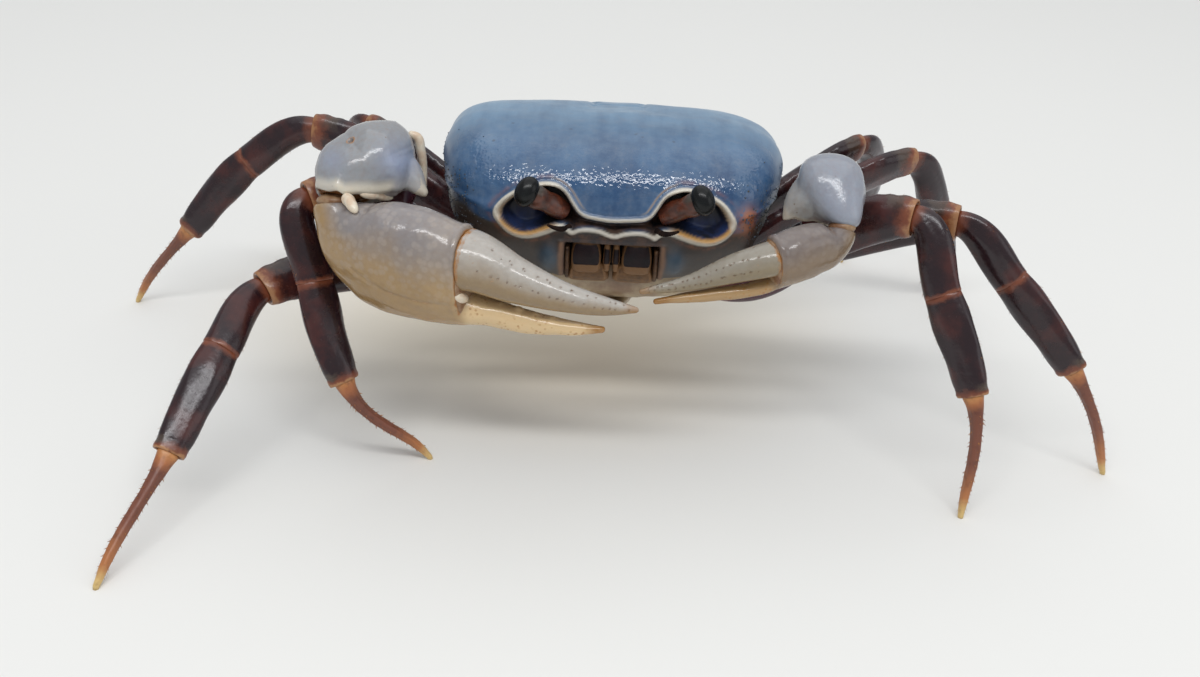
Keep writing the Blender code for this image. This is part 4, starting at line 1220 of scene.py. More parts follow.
        points[:, 1] += open_mouth * (self.mouth_back - points[:, 1])
        frame_edge = bell(mouth + 0.25, 0.28) * ahead * step(-1.6, -1.8, z)
        points += way * (0.16 * frame_edge)[:, None]
        points += way * (bell(wide - 5.5, 0.9) * bell(z + 3.6, 1.3) * 0.75 * ahead)[:, None]
        limit = self.floor - 0.75 * step(-9.1, -9.7, points[:, 1])
        points[:, 2] = np.maximum(points[:, 2], limit)
        inner, outer = 0.02 + (0.12 + 0.14 * upper) * orbit, 0.44 * slim - 0.2 * lip
        rim = step(-inner - 0.12, -inner, edge) * step(outer + 0.1, outer - 0.1, edge) * ahead
        # under_lip: the band under the mouth's upper lip, painted dark as shade
        under_lip = step(-0.95, -1.15, z) * step(4.7, 4.2, wide) * ahead * (1 - np.clip(rim, 0, 1))
        second = bell(edge - 0.6, 0.08) * upper * step(6.2, 4.6, wide) * step(2.2, 3.2, wide) * ahead
        rim = rim + 0.6 * second
        below = step(0.2, -0.5, z)
        line = (bell(edge + 0.1, 0.2) * below + bell(edge + 0.28, 0.14) * 0.6) * orbit * ahead
        values = {
            "rim": np.clip(rim * step(-2.4, -1.6, z), 0, 1) * (1 - 0.35 * lip),
            "lobe": np.clip(bell(wide - 5.6, 0.85) * bell(z + 3.6, 1.3) * 1.5, 0, 0.95) * ahead,
            "frame": np.clip(bell(mouth + 0.2, 0.2) * ahead * step(-1.7, -2.1, z), 0, 0.8),
            "slot": np.clip(step(5.2, 4.2, wide) * step(-1.6, -1.0, z) + 0.6 * under_lip + 0.8 * open_mouth, 0, 1),
            "ochre": np.clip(line + second, 0, 1),
            # hollow: orbits, open mouth and under the lip, painted dark as shade
            "hollow": np.clip(step(0.0, 0.3, -edge) * ahead + open_mouth + under_lip, 0, 1),
            "pool": step(1.1, -0.6, z) * step(5.4, 7.4, wide),
            "stain": 0.3 * bell(edge - 0.7, 0.2) * orbit * ahead,
            "crust": np.clip(bell(x - 11.9, 0.8) * bell(z - 0.5, 1.1) * 1.6, 0, 1) * ahead,
            "rear": (0.3 * step(3.5, 7.3, z) + 0.7 * step(-8.5, 1.5, points[:, 1])) * step(-0.5, 2.5, z),
            "glint": step(15.0, 12.5, wide) * step(-3.0, -6.0, points[:, 1]) * step(2.0, 3.2, z) * step(6.4, 5.3, z),
            # low: lower front and sides, coloured olive and brown as their own colour and as painted shade
            "low": np.clip(1.1 * step(0.1, -1.5, z) + step(10.8, 14.0, wide) * step(2.2, -1.2, z), 0, 1),
        }
        return Surface(points, faces, values)

    def granules(self, surface: Surface, count: int = 900) -> tuple[Array, Array, Array]:
        """Places, directions and sizes of the fine granules of the shell's sides."""
        rng = np.random.default_rng(SEED)
        wide = np.abs(surface.points[:, 0])
        z = surface.points[:, 2]
        weight = step(10.8, 13.0, wide) * bell(z - 0.4, 2.6) * step(6.0, 0.0, surface.points[:, 1])
        weight[surface.values["hollow"] > 0.05] = 0.0
        picked = rng.choice(len(weight), count, replace=False, p=weight / weight.sum())
        return surface.points[picked], surface.normals()[picked], 0.5 + 0.5 * rng.random(count)

    def build(self, shop: Workshop, beads: Sprouts) -> None:
        """Adds the shell and plants its granules."""
        surface = self.surface()
        points, aims, sizes = self.granules(surface)
        beads.plant(place_body(points), turn_body(-aims if surface.inside_out() else aims), sizes)
        surface.points = place_body(surface.points)
        shop.skin(surface, "carapace", "shell", "shell_blue")


@dataclass
class Face:
    """Mouth plates, eyes and antennae, in the body frame."""

    shell: Carapace
    plate_spans: tuple = (
        (-2.0, -4.25, 0.0, 2.3, 1.42, 0.1), (-4.3, -6.6, 0.62, 2.08, 1.95, 0.0), (-2.3, -4.2, 0.25, 0.42, 0.3, -0.2),
    )
    rod_heights: tuple = (-2.5, -3.26, -4.02, -4.78, -5.54, -6.3)
    stalk_base: tuple = (4.5, -11.0, 0.65)
    stalk_end: tuple = (7.3, -12.85, 2.5)
    stalk_rows: tuple = ((0.0, 0.9), (0.35, 1.02), (0.6, 0.94), (0.8, 1.04), (1.0, 0.95))
    eye_half: tuple = (1.05, 1.05, 1.4)
    antenna: tuple = (
        ((3.9, -11.9, -0.55), 0.28), ((4.5, -12.5, -0.6), 0.25), ((5.1, -12.85, -0.45), 0.2),
        ((5.7, -13.0, -0.2), 0.13),
    )

    def front_at(self, x: float, z: float) -> float:
        """How far forward the plain shell's face lies at this width and height."""
        low, high = 0.0, 20.0
        for _ in range(40):
            middle = (low + high) / 2
            way = unit((x, -middle, z))
            inside = math.sqrt(x * x + middle * middle + z * z) < float(self.shell.radius(way))
            low, high = (middle, high) if inside else (low, middle)
        return -low

    @staticmethod
    def taper(share: Array | float) -> Array | float:
        """A mouth plate's width at a share of its height from the top, as a share of its widest."""
        return 1 - 0.26 * (1 - share) ** 3 - 0.12 * share**6

    @staticmethod
    def row(x: float, z: float, front: float, back: float, wide: float) -> tuple:
        """A row of an upright bar between its front and its back edge."""
        return ((x, (front + back) / 2, z), (back - front) / 2, wide)

    def plates(self, sign: float) -> Surface:
        """One outer mouthpart: a dark upper plate, a cream lower plate, a small palp and a side rod."""
        caps = (Cap(((0.08, 0.96), (0.1, 0.8), (0.1, 0.4))), Cap(((0.06, 0.96), (0.07, 0.8), (0.07, 0.4))))
        down = ((0, 0, -1), (0, 0, -1))
        made = []
        for top, bottom, zone, middle, half, proud in self.plate_spans:
            rows = []
            for share in np.linspace(0, 1, 7):
                z = top + (bottom - top) * share
                front = self.front_at(sign * middle, z) - proud + 0.45 * (2 * share - 1) ** 4
                rows.append(self.row(sign * middle, z, front, -8.4, half * self.taper(share)))
            plate = Loft(rows, (1, 0, 0), down, caps, 40, 56, 4.2).surface()
            share = np.clip((top - plate.points[:, 2]) / (top - bottom), 0, 1)
            aside = np.abs(plate.points[:, 0] - sign * middle) / (half * self.taper(share))
            rim = np.maximum(step(0.78, 0.93, np.abs(2 * share - 1)), step(0.74, 0.9, aside))
            plate.push(0.1 * bell(rim - 0.6, 0.3))
            plate.values["joint"] = np.clip(zone + 0.85 * rim, 0, 1)
            made.append(plate)
        rows = [self.row(sign * 4.03, z, self.front_at(sign * 3.9, z) + 0.1, -8.3, 0.26) for z in self.rod_heights]
        rod = Loft(rows, (1, 0, 0), down, (POINT, POINT), 30, 24, 3.0).surface()
        rod.values["joint"] = np.full(len(rod.points), 0.5)
        return reduce(Surface.joined, (*made, rod))

    def stalk(self, sign: float) -> tuple[Surface, Surface]:
        """An eyestalk and its cornea."""
        base = np.array(self.stalk_base) * (sign, 1, 1)
        end = np.array(self.stalk_end) * (sign, 1, 1)
        way = unit(end - base)
        rows = [(base + (end - base) * share, radius, radius) for share, radius in self.stalk_rows]
        loft = Loft(rows, (0, -1, 0), (way, way), (POINT, SOCKET), 40, 40, 2.0)
        loft.sculpt = lambda along, angle: 0.04 * np.sin(angle * 3 + 5 * along) + 0.05 * bell(along - 0.9, 0.08)
        stalk = loft.surface()
        stalk.values["joint"] = 0.75 * step(0.5, 1.0, stalk.values["along"]) * step(-0.3, 0.9, stalk.values["above"])
        upright = unit(np.array((0, 0, 1.0)) - way * way[2])
        turn = np.stack((way, np.cross(upright, way), upright), axis=1)
        return stalk, ball(end + way * 0.55 + upright * 0.05, self.eye_half, turn, 28, 36)

    def feeler(self, sign: float) -> Surface:
        """An antenna with its rings."""
        rows = [(np.array(point) * (sign, 1, 1), radius, radius) for point, radius in self.antenna]
        loft = Loft(rows, (0, -1, 0), caps=(POINT, POINT), stations=90, sides=20, power=2.0)
        loft.sculpt = lambda along, angle: 0.05 * np.cos(along * 2 * math.pi * 13)
        return loft.surface()

    def build(self, shop: Workshop) -> None:
        """Adds every piece of the face."""
        for side in Side:
            stalk, eye = self.stalk(side.sign)
            for stem, surface, finish, slot in (
                ("maxilliped_", self.plates(side.sign), "mouth", "mouth_brown"),
                ("eyestalk_", stalk, "stalk", "stalk_orange"),
                ("eye_", eye, "cornea", "cornea_black"),
                ("antenna_", self.feeler(side.sign), "antenna", "stalk_orange"),
            ):
                surface.points = place_body(surface.points)
                shop.skin(surface, stem + side.word, finish, slot)


def hermite_rows(
    ends: tuple[Array, Array], ways: tuple[Array, Array], bend: tuple[float, float], table: Sequence[tuple],
    scale: float,
) -> list[tuple[Array, float, float]]:
    """Rows of centre, half height and half thickness along the smooth curve between two joint faces.

    Args:
        ends: the two end points.
        ways: the directions of the two end faces.
        bend: how strongly each end keeps its direction.
        table: share of the way, half height and half thickness.
        scale: factor on the sizes.

    Returns:
        The rows.
    """
    span = float(np.linalg.norm(ends[1] - ends[0]))
    first, last = ways[0] * span * bend[0], ways[1] * span * bend[1]
    values = np.array(table, float)
    shares = np.linspace(0, 1, 15)
    sizes = (curve_through(values[:, 0], values[:, 1:], shares) * scale).tolist()
    return [(hermite(s, ends[0], first, ends[1], last), *size) for s, size in zip(shares, sizes)]


def way_of(heading: float, lift: float) -> Array:
    """The direction with this heading about the vertical and this lift, in degrees."""
    h, e = math.radians(heading), math.radians(lift)
    return np.array((math.cos(e) * math.cos(h), math.cos(e) * math.sin(h), math.sin(e)))


MERUS_TABLE = (
    (0.0, 1.25, 0.95), (0.1, 1.5, 1.05), (0.25, 1.95, 1.2), (0.55, 2.25, 1.3), (0.88, 2.0, 1.2), (1.0, 1.7, 1.1),
)
CARPUS_TABLE = ((0.0, 1.25, 0.85), (0.3, 1.5, 1.05), (0.72, 1.7, 1.15), (1.0, 1.66, 1.08))
PROPODUS_TABLE = ((0.0, 1.6, 1.0), (0.22, 1.78, 1.05), (0.6, 1.62, 0.98), (0.93, 1.42, 0.88), (1.0, 1.3, 0.82))
DACTYLUS_TABLE = (
    (0.0, 1.0, 0.7), (0.1, 0.68, 0.55), (0.22, 0.53, 0.47), (0.45, 0.48, 0.42), (0.7, 0.43, 0.39), (0.9, 0.34, 0.33),
    (1.0, 0.26, 0.26),
)
FINISH_OF = {Part.MERUS: "merus", Part.CARPUS: "carpus_leg", Part.PROPODUS: "propodus", Part.DACTYLUS: "toe"}


@dataclass
class Leg:
    """One walking leg: root, segment lengths in millimetres, and headings and lifts in degrees."""

    side: Side
    number: int
    hip: tuple
    lengths: tuple
    poses: tuple
    toe_heading: float
    stout: float = 1.0
    gap: float = 0.08

    def joints(self) -> list[Array]:
        """Root, knee, wrist, ankle and foot."""
        found = [np.array((self.side.sign * self.hip[0], self.hip[1], self.hip[2])) + STANCE]
        for length, aim in zip(self.lengths[:3], self.poses):
            found.append(found[-1] + way_of(*aim) * length)
        lift = -math.degrees(math.asin(min(found[-1][2] / self.lengths[3], 0.98)))
        foot = found[-1] + way_of(self.toe_heading, lift) * self.lengths[3]
        foot[2] = 0.0
        return found + [foot]

    def side_way(self, joints: Sequence[Array]) -> Array:
        """The direction across the plane that the leg bends in."""
        return unit(np.cross(joints[1] - joints[0], joints[4] - joints[1]))

    def lofts(self) -> dict[Part, Loft]:
        """The four segments as lofts."""
        joints = self.joints()
        ways = [unit(b - a) for a, b in zip(joints[:-1], joints[1:])]
        faces = [
            ways[0], unit(ways[0] * 0.62 + ways[1] * 0.38), unit(ways[1] + ways[2]),
            unit(ways[2] * 0.75 + ways[3] * 0.25), unit(ways[3] + np.array((0, 0, -0.5))),
        ]
        plans = {
            Part.MERUS: (MERUS_TABLE, (0.9, 0.7), (FLAT, SOCKET), 64, self.ridge_merus),
            Part.CARPUS: (CARPUS_TABLE, (1.0, 1.0), (KNUCKLE, SOCKET), 36, self.ridge_carpus),
            Part.PROPODUS: (PROPODUS_TABLE, (1.0, 1.0), (KNUCKLE, SOCKET), 44, self.ridge_propodus),
            Part.DACTYLUS: (DACTYLUS_TABLE, (1.2, 1.0), (KNUCKLE, FOOT), 56, self.ridge_toe),
        }
        made = {}
        for index, (part, (table, bend, caps, stations, sculpt)) in enumerate(plans.items()):
            near, far = faces[index], faces[index + 1]
            start, end = joints[index] + near * (self.gap / 2), joints[index + 1] - far * (self.gap / 2)
            far_way = far
            if part is Part.DACTYLUS:
                end, far_way = joints[index + 1], np.array((0, 0, -1.0))
            rows = hermite_rows((start, end), (near, far), bend, table, self.stout)
            made[part] = Loft(rows, self.side_way(joints), (near, far_way), caps, stations, 36, 2.2, sculpt)
        return made

    @staticmethod
    def ridge_merus(along: Array, angle: Array) -> Array:
        """A keeled upper edge, flat sides and a lip at the far end."""
        keel = 0.07 * np.clip(np.sin(angle), 0, 1) ** 10 * step(0.05, 0.2, along)
        teeth = 0.02 * np.clip(np.sin(angle), 0, 1) ** 12 * np.sin(along * 2 * math.pi * 17)
        groove = -0.05 * bell(np.sin(angle) - 0.55, 0.16) * step(0.1, 0.3, along) * step(1.0, 0.85, along)
        lip = 0.03 * bell(along - 0.97, 0.022) - 0.03 * bell(along - 0.915, 0.022)
        return keel + teeth + groove + lip + 0.025 * np.sin(angle * 5 + along * 9)

    @staticmethod
    def ridge_carpus(along: Array, angle: Array) -> Array:
        """A long groove between two low ridges, and a lip at the far end."""
        groove = -0.08 * bell(np.sin(angle) - 0.45, 0.2) * step(0.0, 0.25, along)
        keel = 0.06 * np.clip(np.sin(angle), 0, 1) ** 8
        return groove + keel + 0.025 * np.sin(angle * 4 + along * 7)

    @staticmethod
    def ridge_propodus(along: Array, angle: Array) -> Array:
        """Angular corner teeth round the far end and keeled edges."""
        corners = np.abs(np.sin(angle)) ** 6
        lip = 0.07 * bell(along - 0.985, 0.03) * corners + 0.01 * bell(along - 0.98, 0.03)
        neck = -0.02 * bell(along - 0.92, 0.04)
        keel = 0.05 * corners
        groove = -0.05 * bell(np.sin(angle), 0.2) * step(0.1, 0.3, along) * step(0.95, 0.8, along)
        return lip + neck + keel + groove + 0.02 * np.sin(angle * 5 + along * 11)

    @staticmethod
    def ridge_toe(along: Array, angle: Array) -> Array:
        """Four long ribs with furrows between them, fading at the tip."""
        ribs = 0.09 * np.cos(angle * 4) * step(0.02, 0.15, along) * step(1.0, 0.85, along)
        return ribs + 0.02 * np.sin(along * 40 + 3 * angle)

    def plant(self, lofts: dict[Part, Loft], spines: Sprouts, hairs: Sprouts) -> None:
        """Plants toe spines and short hairs on the edges of the lower segments."""
        rng = np.random.default_rng(SEED + self.number * 2 + (self.side is Side.LEFT))
        for angle in (0.5 * math.pi, 1.5 * math.pi, 0.28 * math.pi, 0.72 * math.pi, 1.28 * math.pi, 1.72 * math.pi):
            shares = np.linspace(0.16, 0.86, 12) + rng.uniform(-0.02, 0.02, 12)
            points, aims, ways = lofts[Part.DACTYLUS].spots(shares, np.full(12, angle))
            edge = 1.0 if abs(math.sin(angle)) > 0.99 else 0.75
            spines.plant(points - aims * 0.05, aims * 0.75 + ways * 0.65, edge * (1.0 - 0.35 * shares))
        for part, count in ((Part.PROPODUS, 46), (Part.DACTYLUS, 70), (Part.CARPUS, 20), (Part.MERUS, 30)):
            shares = rng.uniform(0.12, 0.95, count)
            edge = rng.choice((0.5, 1.5), count) * math.pi + rng.normal(0, 0.18, count)
            points, aims, ways = lofts[part].spots(shares, edge)
            hairs.plant(points - aims * 0.03, aims * 0.7 + ways * 0.8, rng.uniform(0.5, 1.1, count))

    def build(self, shop: Workshop, spines: Sprouts, hairs: Sprouts) -> None:
        """Adds the leg's four segments and plants their spines."""
        lofts = self.lofts()
        for part, loft in lofts.items():
            surface = loft.surface()
            surface.points[:, 2] = np.maximum(surface.points[:, 2], 0.0)
            slot = "foot_amber" if part is Part.DACTYLUS else "leg_dark"
            shop.skin(surface, f"leg_{self.side.word}_{self.number}_{part.value}", FINISH_OF[part], slot)
        self.plant(lofts, spines, hairs)


LEGS = (
    Leg(Side.RIGHT, 1, (12.5, -5.0, 15.0), (18.4, 7.4, 9.5, 11.8), ((-160, 27.3), (-75, -61), (-55, -56)), 7),
    Leg(Side.LEFT, 1, (12.5, -5.0, 15.0), (18.4, 7.4, 9.5, 11.8), ((-20, 31.4), (-53, -50), (-54, -54)), -86),
    Leg(Side.RIGHT, 2, (13.0, -1.0, 14.0), (22.4, 7.3, 10.5, 12.7), ((-150, 2), (-112, -23), (-109, -32)), -109),
    Leg(Side.LEFT, 2, (13.0, -1.0, 14.0), (22.4, 7.3, 10.5, 12.7), ((-22, 25), (-24, -38), (-23, -46)), -7),
    Leg(Side.RIGHT, 3, (12.5, 3.0, 13.6), (21.4, 8.3, 10.8, 12.8), ((165, 24), (180, -29), (-176, -48)), 171),
    Leg(Side.LEFT, 3, (12.5, 3.0, 13.6), (21.4, 8.3, 10.8, 12.8), ((21, 21), (35, -50), (50, -58)), 82),
    Leg(Side.RIGHT, 4, (11.5, 7.0, 12.8), (18.2, 6.9, 8.8, 10.8), ((155, 25), (120, -35), (105, -50)), 95, 0.95),
    Leg(Side.LEFT, 4, (11.5, 7.0, 12.8), (18.2, 6.9, 8.8, 10.8), ((25, 27), (60, -35), (75, -50)), 115, 0.95),
)


def stand(point: Sequence[float]) -> Array:
    """A point moved to where the animal stands."""
    return np.array(point, float) + STANCE


def placed(rows: Sequence[tuple]) -> list[tuple[Array, float, float]]:
    """Rows moved to where the animal stands."""
    return [(stand(centre), float(up), float(side)) for centre, up, side in rows]


def slid(row: tuple[Array, float, float], by: Array) -> tuple[Array, float, float]:
    """A row with its centre moved."""
    return (row[0] + by, *row[1:])


def balls(places: Sequence[tuple]) -> list[Surface]:
    """An ellipsoid for each pair of centre and half sizes."""
    return [ball(stand(centre), half) for centre, half in places]


def spike(rows: Sequence[tuple], side: Sequence[float], stations: int, sides: int, power: float = 2.2) -> Loft:
    """A loft with two pointed ends."""
    return Loft(rows, side, caps=(POINT, POINT), stations=stations, sides=sides, power=power)


@dataclass
class Claw:
    """One claw limb, as joint centres, joint directions and rows of centre, half height, half thickness."""

    side: Side
    hip_way: tuple
    elbow: tuple
    elbow_way: tuple
    wrist: tuple
    wrist_way: tuple
    merus: tuple
    carpus: tuple
    carpus_ends: tuple
    palm: tuple
    palm_start: tuple
    finger_way: tuple
    heel: tuple
    fixed: tuple
    finger: tuple
    tooth: tuple
    tooth_base: tuple
    tooth_radius: float
    cusps: tuple
    pit: tuple | None = None
    knobs: tuple = ()
    crease: tuple = ()
    strip: tuple = ()
    hinge: float = 0.03
    cusp_size: float = 0.5
    swell: tuple = ()
    fill: tuple = ()
    ridge: tuple = ()
    gap: float = 0.3
    # size_word: ends the finish names; for the small claw it picks the darker painted-shade finishes
    size_word: str = ""
    warm: float = 0.1
    reach: tuple = ()
    reach_centre: tuple = (370, 165)
    valley: float = 360
    # glows: spots of the painted sheen on the view, as pixel across and down, widths and strength
    glows: tuple = ((400, 160, 22, 20, 1.0), (332, 160, 14, 14, 0.5))
    voxel: float = 0.17
    fine_voxel: float = 0.13
    finger_voxel: float = 0.12

    @property
    def stem(self) -> str:
        """How the claw's names begin."""
        return f"claw_{self.side.word}_"

    @property
    def flat(self) -> Array:
        """The direction across the palm."""
        return unit((self.finger_way[1], -self.finger_way[0], 0.0))

    def arm(self) -> Surface:
        """The upper arm that carries the claw."""
        rows = placed(self.merus)
        ways = unit(self.hip_way), unit(self.elbow_way)
        rows[0] = slid(rows[0], ways[0] * self.gap / 2)
        rows[-1] = slid(rows[-1], -ways[1] * self.gap / 2)
        loft = Loft(rows, (0, 1, 0), ways, (FLAT, SOCKET), 70, 40, 2.4)
        loft.sculpt = lambda along, angle: (
            0.06 * np.abs(np.cos(angle * 1.5)) ** 6 + 0.1 * bell(along - 0.96, 0.03)
            + 0.02 * np.sin(9 * along + 4 * angle)
        )
        return loft.surface()

    def wristbone(self) -> Surface:
        """The domed carpus with its inner tooth."""
        elbow, wrist = stand(self.elbow), stand(self.wrist)
        elbow_way, wrist_way = unit(self.elbow_way), unit(self.wrist_way)
        sign = self.side.sign
        across = unit((-sign * (wrist[1] - elbow[1]), sign * (wrist[0] - elbow[0]), 0))
        rows = [
            (elbow + elbow_way * self.gap / 2, *self.carpus_ends[0]),
            *placed(self.carpus),
            (wrist - wrist_way * self.gap / 2, *self.carpus_ends[1]),
        ]
        loft = Loft(rows, across, (elbow_way, wrist_way), (FLAT, FLAT), 60, 60, 2.3)
        base, tip = stand(self.tooth_base), stand(self.tooth)
        rows = []
        for share, size in ((0.0, 1.0), (0.3, 0.92), (0.6, 0.72), (0.86, 0.38), (1.0, 0.14)):
            radius = self.tooth_radius * size
            rows.append((base + (tip - base) * share, radius, radius * 0.85))
        dome = fused([loft.surface(), *balls(self.swell)], self.voxel, 60)
        surface = fused([dome, spike(rows, (0, 0, 1), 30, 24, 2.0).surface()], self.fine_voxel, 26)
        surface.values = loft.read(surface.points)
        if self.reach:
            surface.points = VIEW.reshaped(surface.points, self.reach_centre, self.reach)
        return surface

    def hand(self) -> tuple[Surface, Array]:
        """The palm with its fixed finger, and the centre of the movable finger's joint."""
        wrist_way, finger_way = unit(self.wrist_way), unit(self.finger_way)
        rows = [(stand(self.wrist) + wrist_way * self.gap / 2, *self.palm_start)] + placed(self.palm)
        joint = rows[-1][0]
        rows[-1] = slid(rows[-1], -finger_way * self.hinge)
        palm = Loft(rows, self.flat, (wrist_way, finger_way), (FLAT, FLAT), 70, 56, 2.3)
        fixed = spike(placed(self.fixed), self.flat, 56, 32)
        forms = [palm.surface(), spike(placed(self.heel), self.flat, 40, 32).surface(), *balls(self.fill)]
        fingers = [fixed.surface(), *self.teeth(fixed, 1.5 * math.pi)]
        surface = fused([fused(forms, self.voxel, 24), *fingers], self.fine_voxel, 4)
        surface.values = palm.read(surface.points)
        mix = step(-0.4, 0.8, (surface.points - joint) @ finger_way)
        above = surface.values["above"]
        surface.values["above"] = above * (1 - mix) + fixed.read(surface.points)["above"] * mix
        surface.values["finger"] = mix
        tip = stand(self.fixed[-1][0])
        surface.values["tip"] = step(2.2, 0.5, np.linalg.norm(surface.points - tip, axis=1))
        return surface, joint

    def teeth(self, loft: Loft, angle: float) -> list[Surface]:
        """Rounded cusps along a finger's cutting edge."""
        made = []
        for share, size in self.cusps:
            point, aim, way = (value[0] for value in loft.spots(np.array([share]), np.array([angle])))
            turn = np.stack((way, np.cross(aim, way), aim), axis=1)
            half = np.array((0.992, 0.7, 0.75)) * size * self.cusp_size
            made.append(ball(point - aim * 0.12, half, turn, 10, 14))
        return made

    def thumb(self) -> tuple[Surface, Loft]:
        """The movable finger."""
        way = unit(self.finger_way)
        rows = placed(self.finger)
        rows[0] = slid(rows[0], way * self.hinge)
        loft = Loft(rows, self.flat, (way, None), (FLAT, POINT), 70, 40, 2.2)
        surface = fused([loft.surface(), *self.teeth(loft, 0.5 * math.pi)], self.finger_voxel, 3)
        surface.values = loft.read(surface.points)
        surface.values["tip"] = step(1.8, 0.3, np.linalg.norm(surface.points - rows[-1][0], axis=1)) * 0.6
        return surface, loft

    def dress_wristbone(self, surface: Surface) -> None:
        """Raised lip with a brown band below it, both its own brown skin and painted shade in the recess, ochre at the
        joint, a painted bluish sheen and one small pit.
        """
        values = surface.values
        values["joint"] = step(0.95, 1.0, values["along"]) * 0.5
        values["net"] = np.full(len(surface.points), 0.5)
        if self.ridge:
            line = np.array(self.ridge, float)
            away = line_distance(surface.points, VIEW.spots(search(surface), self.ridge))
            across, down = VIEW.pixels(surface.points).T
            under = (down - np.interp(across, line[:, 0], line[:, 1])) / PIXELS_TO_MM
            ahead = step(-9.0, -9.6, surface.points[:, 1])
            band = step(0.3, 0.7, under) * ahead * step(line[0, 0] - 14, line[0, 0] - 2, across)
            valley = bell(under + 1.5, 0.5) * bell(across - self.valley, 22)
            surface.push(0.2 * bell(away, 0.45) - 0.5 * band - 0.1 * valley * ahead)
            # The recess under the lip: its brown skin and painted shade
            values["shade"] = band
            values["butter"] = step(-1.1, -0.1, under) * ahead * (0.55 + 0.35 * step(332, 340, across))
            # Painted bluish sheen, in spots on the view where the dome's highlights fall
            glow = sum(much * bell(across - x, wide) * bell(down - y, tall) for x, y, wide, tall, much in self.glows)
            values["sheen"] = np.clip(glow, 0, 1) * 0.8
        else:
            # Painted sheen on the upper side of the dome
            values["sheen"] = 0.3 * step(-0.2, 0.8, values["above"])
        if self.pit is not None:
            away = np.linalg.norm(surface.points - VIEW.spot(search(surface), *self.pit), axis=1)
            surface.push(0.08 * bell(away - 0.4, 0.13) - 0.18 * step(0.32, 0.08, away))
            values["joint"] = np.clip(values["joint"] + bell(away - 0.38, 0.14) * 0.8, 0, 1)
            values["dots"] = step(0.3, 0.12, away) * 0.7

    def dress_hand(self, surface: Surface, joint: Array) -> None:
        """Crease along the lower edge, a lip at the finger's joint and pits on the finger."""
        values = surface.values
        out = (surface.points - joint) @ unit(self.finger_way)
        height = (surface.points[:, 2] - joint[2]) / self.palm[-1][1]
        lip = bell(out + 0.35, 0.3) * step(-0.6, -0.4, height) * (0.6 + 0.8 * step(0.5, 0.9, height))
        surface.push(0.14 * lip * (values["finger"] < 0.6))
        surface.push(0.05 * ripple(surface.points, 9, 2.6))
        at_joint = bell(out + 0.02, 0.13) * step(-0.66, -0.55, height) + step(0.05, 0.0, values["along"]) * 0.3
        if self.crease:
            away = line_distance(surface.points, VIEW.spots(search(surface), self.crease))
            surface.push(-0.1 * bell(away, 0.18))
            at_joint = at_joint + bell(away, 0.2) * 0.6
        finger = values["finger"]
        values["joint"] = np.clip(at_joint, 0, 1)
        values["net"] = step(-0.7, 0.3, values["above"]) * (1 - finger)
        values["butter"] = np.clip(finger * 0.95 + self.warm * bell(out + 1.2, 1.6), 0, 1)
        values["scabs"] = np.clip(finger * 0.7 + bell(out + 0.5, 0.8) * 0.6 + values["tip"], 0, 1)

    def dress_thumb(self, surface: Surface, loft: Loft) -> None:
        """Rows of tiny pits along the finger."""
        rng = np.random.default_rng(SEED)
        dots = np.zeros(len(surface.points))
        for angle in (1.05, 1.3, 1.62, 1.9):
            shares = np.linspace(0.12, 0.93, 18) + rng.uniform(-0.02, 0.02, 18)
            turns = np.full(18, angle * math.pi) + rng.normal(0, 0.05, 18)
            for point, size in zip(loft.spots(shares, turns)[0], rng.uniform(0.08, 0.15, 18)):
                away = np.linalg.norm(surface.points - point, axis=1)
                dots = np.maximum(dots, step(size, size * 0.3, away))
        along = surface.values["along"]
        surface.values |= {
            "dots": dots, "joint": step(0.035, 0.0, along), "net": np.full(len(dots), 0.25),
            "scabs": step(0.6, 0.1, along) * 0.9,
        }

    def build(self, shop: Workshop) -> None:
        """Adds the claw's four segments, its joint skins and its small knobs."""
        shop.skin(self.arm(), self.stem + "merus", "arm", "leg_dark")
        wristbone = self.wristbone()
        bare = wristbone.points.copy()
        self.dress_wristbone(wristbone)
        shop.skin(wristbone, self.stem + "carpus", "carpus", "claw_pearl")
        hand, joint = self.hand()
        under = Surface(bare, wristbone.faces).joined(Surface(hand.points.copy(), hand.faces))
        self.dress_hand(hand, joint)
        shop.skin(hand, self.stem + "palm", "palm" + self.size_word, "claw_pearl")
        thumb, loft = self.thumb()
        self.dress_thumb(thumb, loft)
        shop.skin(thumb, self.stem + "finger", "finger" + self.size_word, "claw_pearl")
        skins = self.joint_skins(joint)
        shop.add(self.stem + "joint_skin", skins.mesh(self.stem + "joint_skin"), "claw_membrane", "foot_amber")
        if self.knobs:
            knobs = self.small_knobs(under)
            shop.add(self.stem + "knobs", knobs.mesh(self.stem + "knobs"), "tooth", "claw_pearl")

    def joint_skins(self, joint: Array) -> Surface:
        """Soft skins in the finger's joint and the wrist."""
        way, wrist_way = unit(self.finger_way), unit(self.wrist_way)
        turn = np.stack((way, self.flat, np.cross(way, self.flat)), axis=1)
        skin = ball(joint, (0.4, self.palm[-1][2] * 0.93, self.palm[-1][1] * 0.93), turn)
        turn = np.stack((wrist_way, unit(np.cross(wrist_way, (1, 0, 0))), np.array((1.0, 0, 0))), axis=1)
        return skin.joined(ball(stand(self.wrist), (0.75, self.palm_start[1] * 0.9, self.palm_start[0] * 0.9), turn))

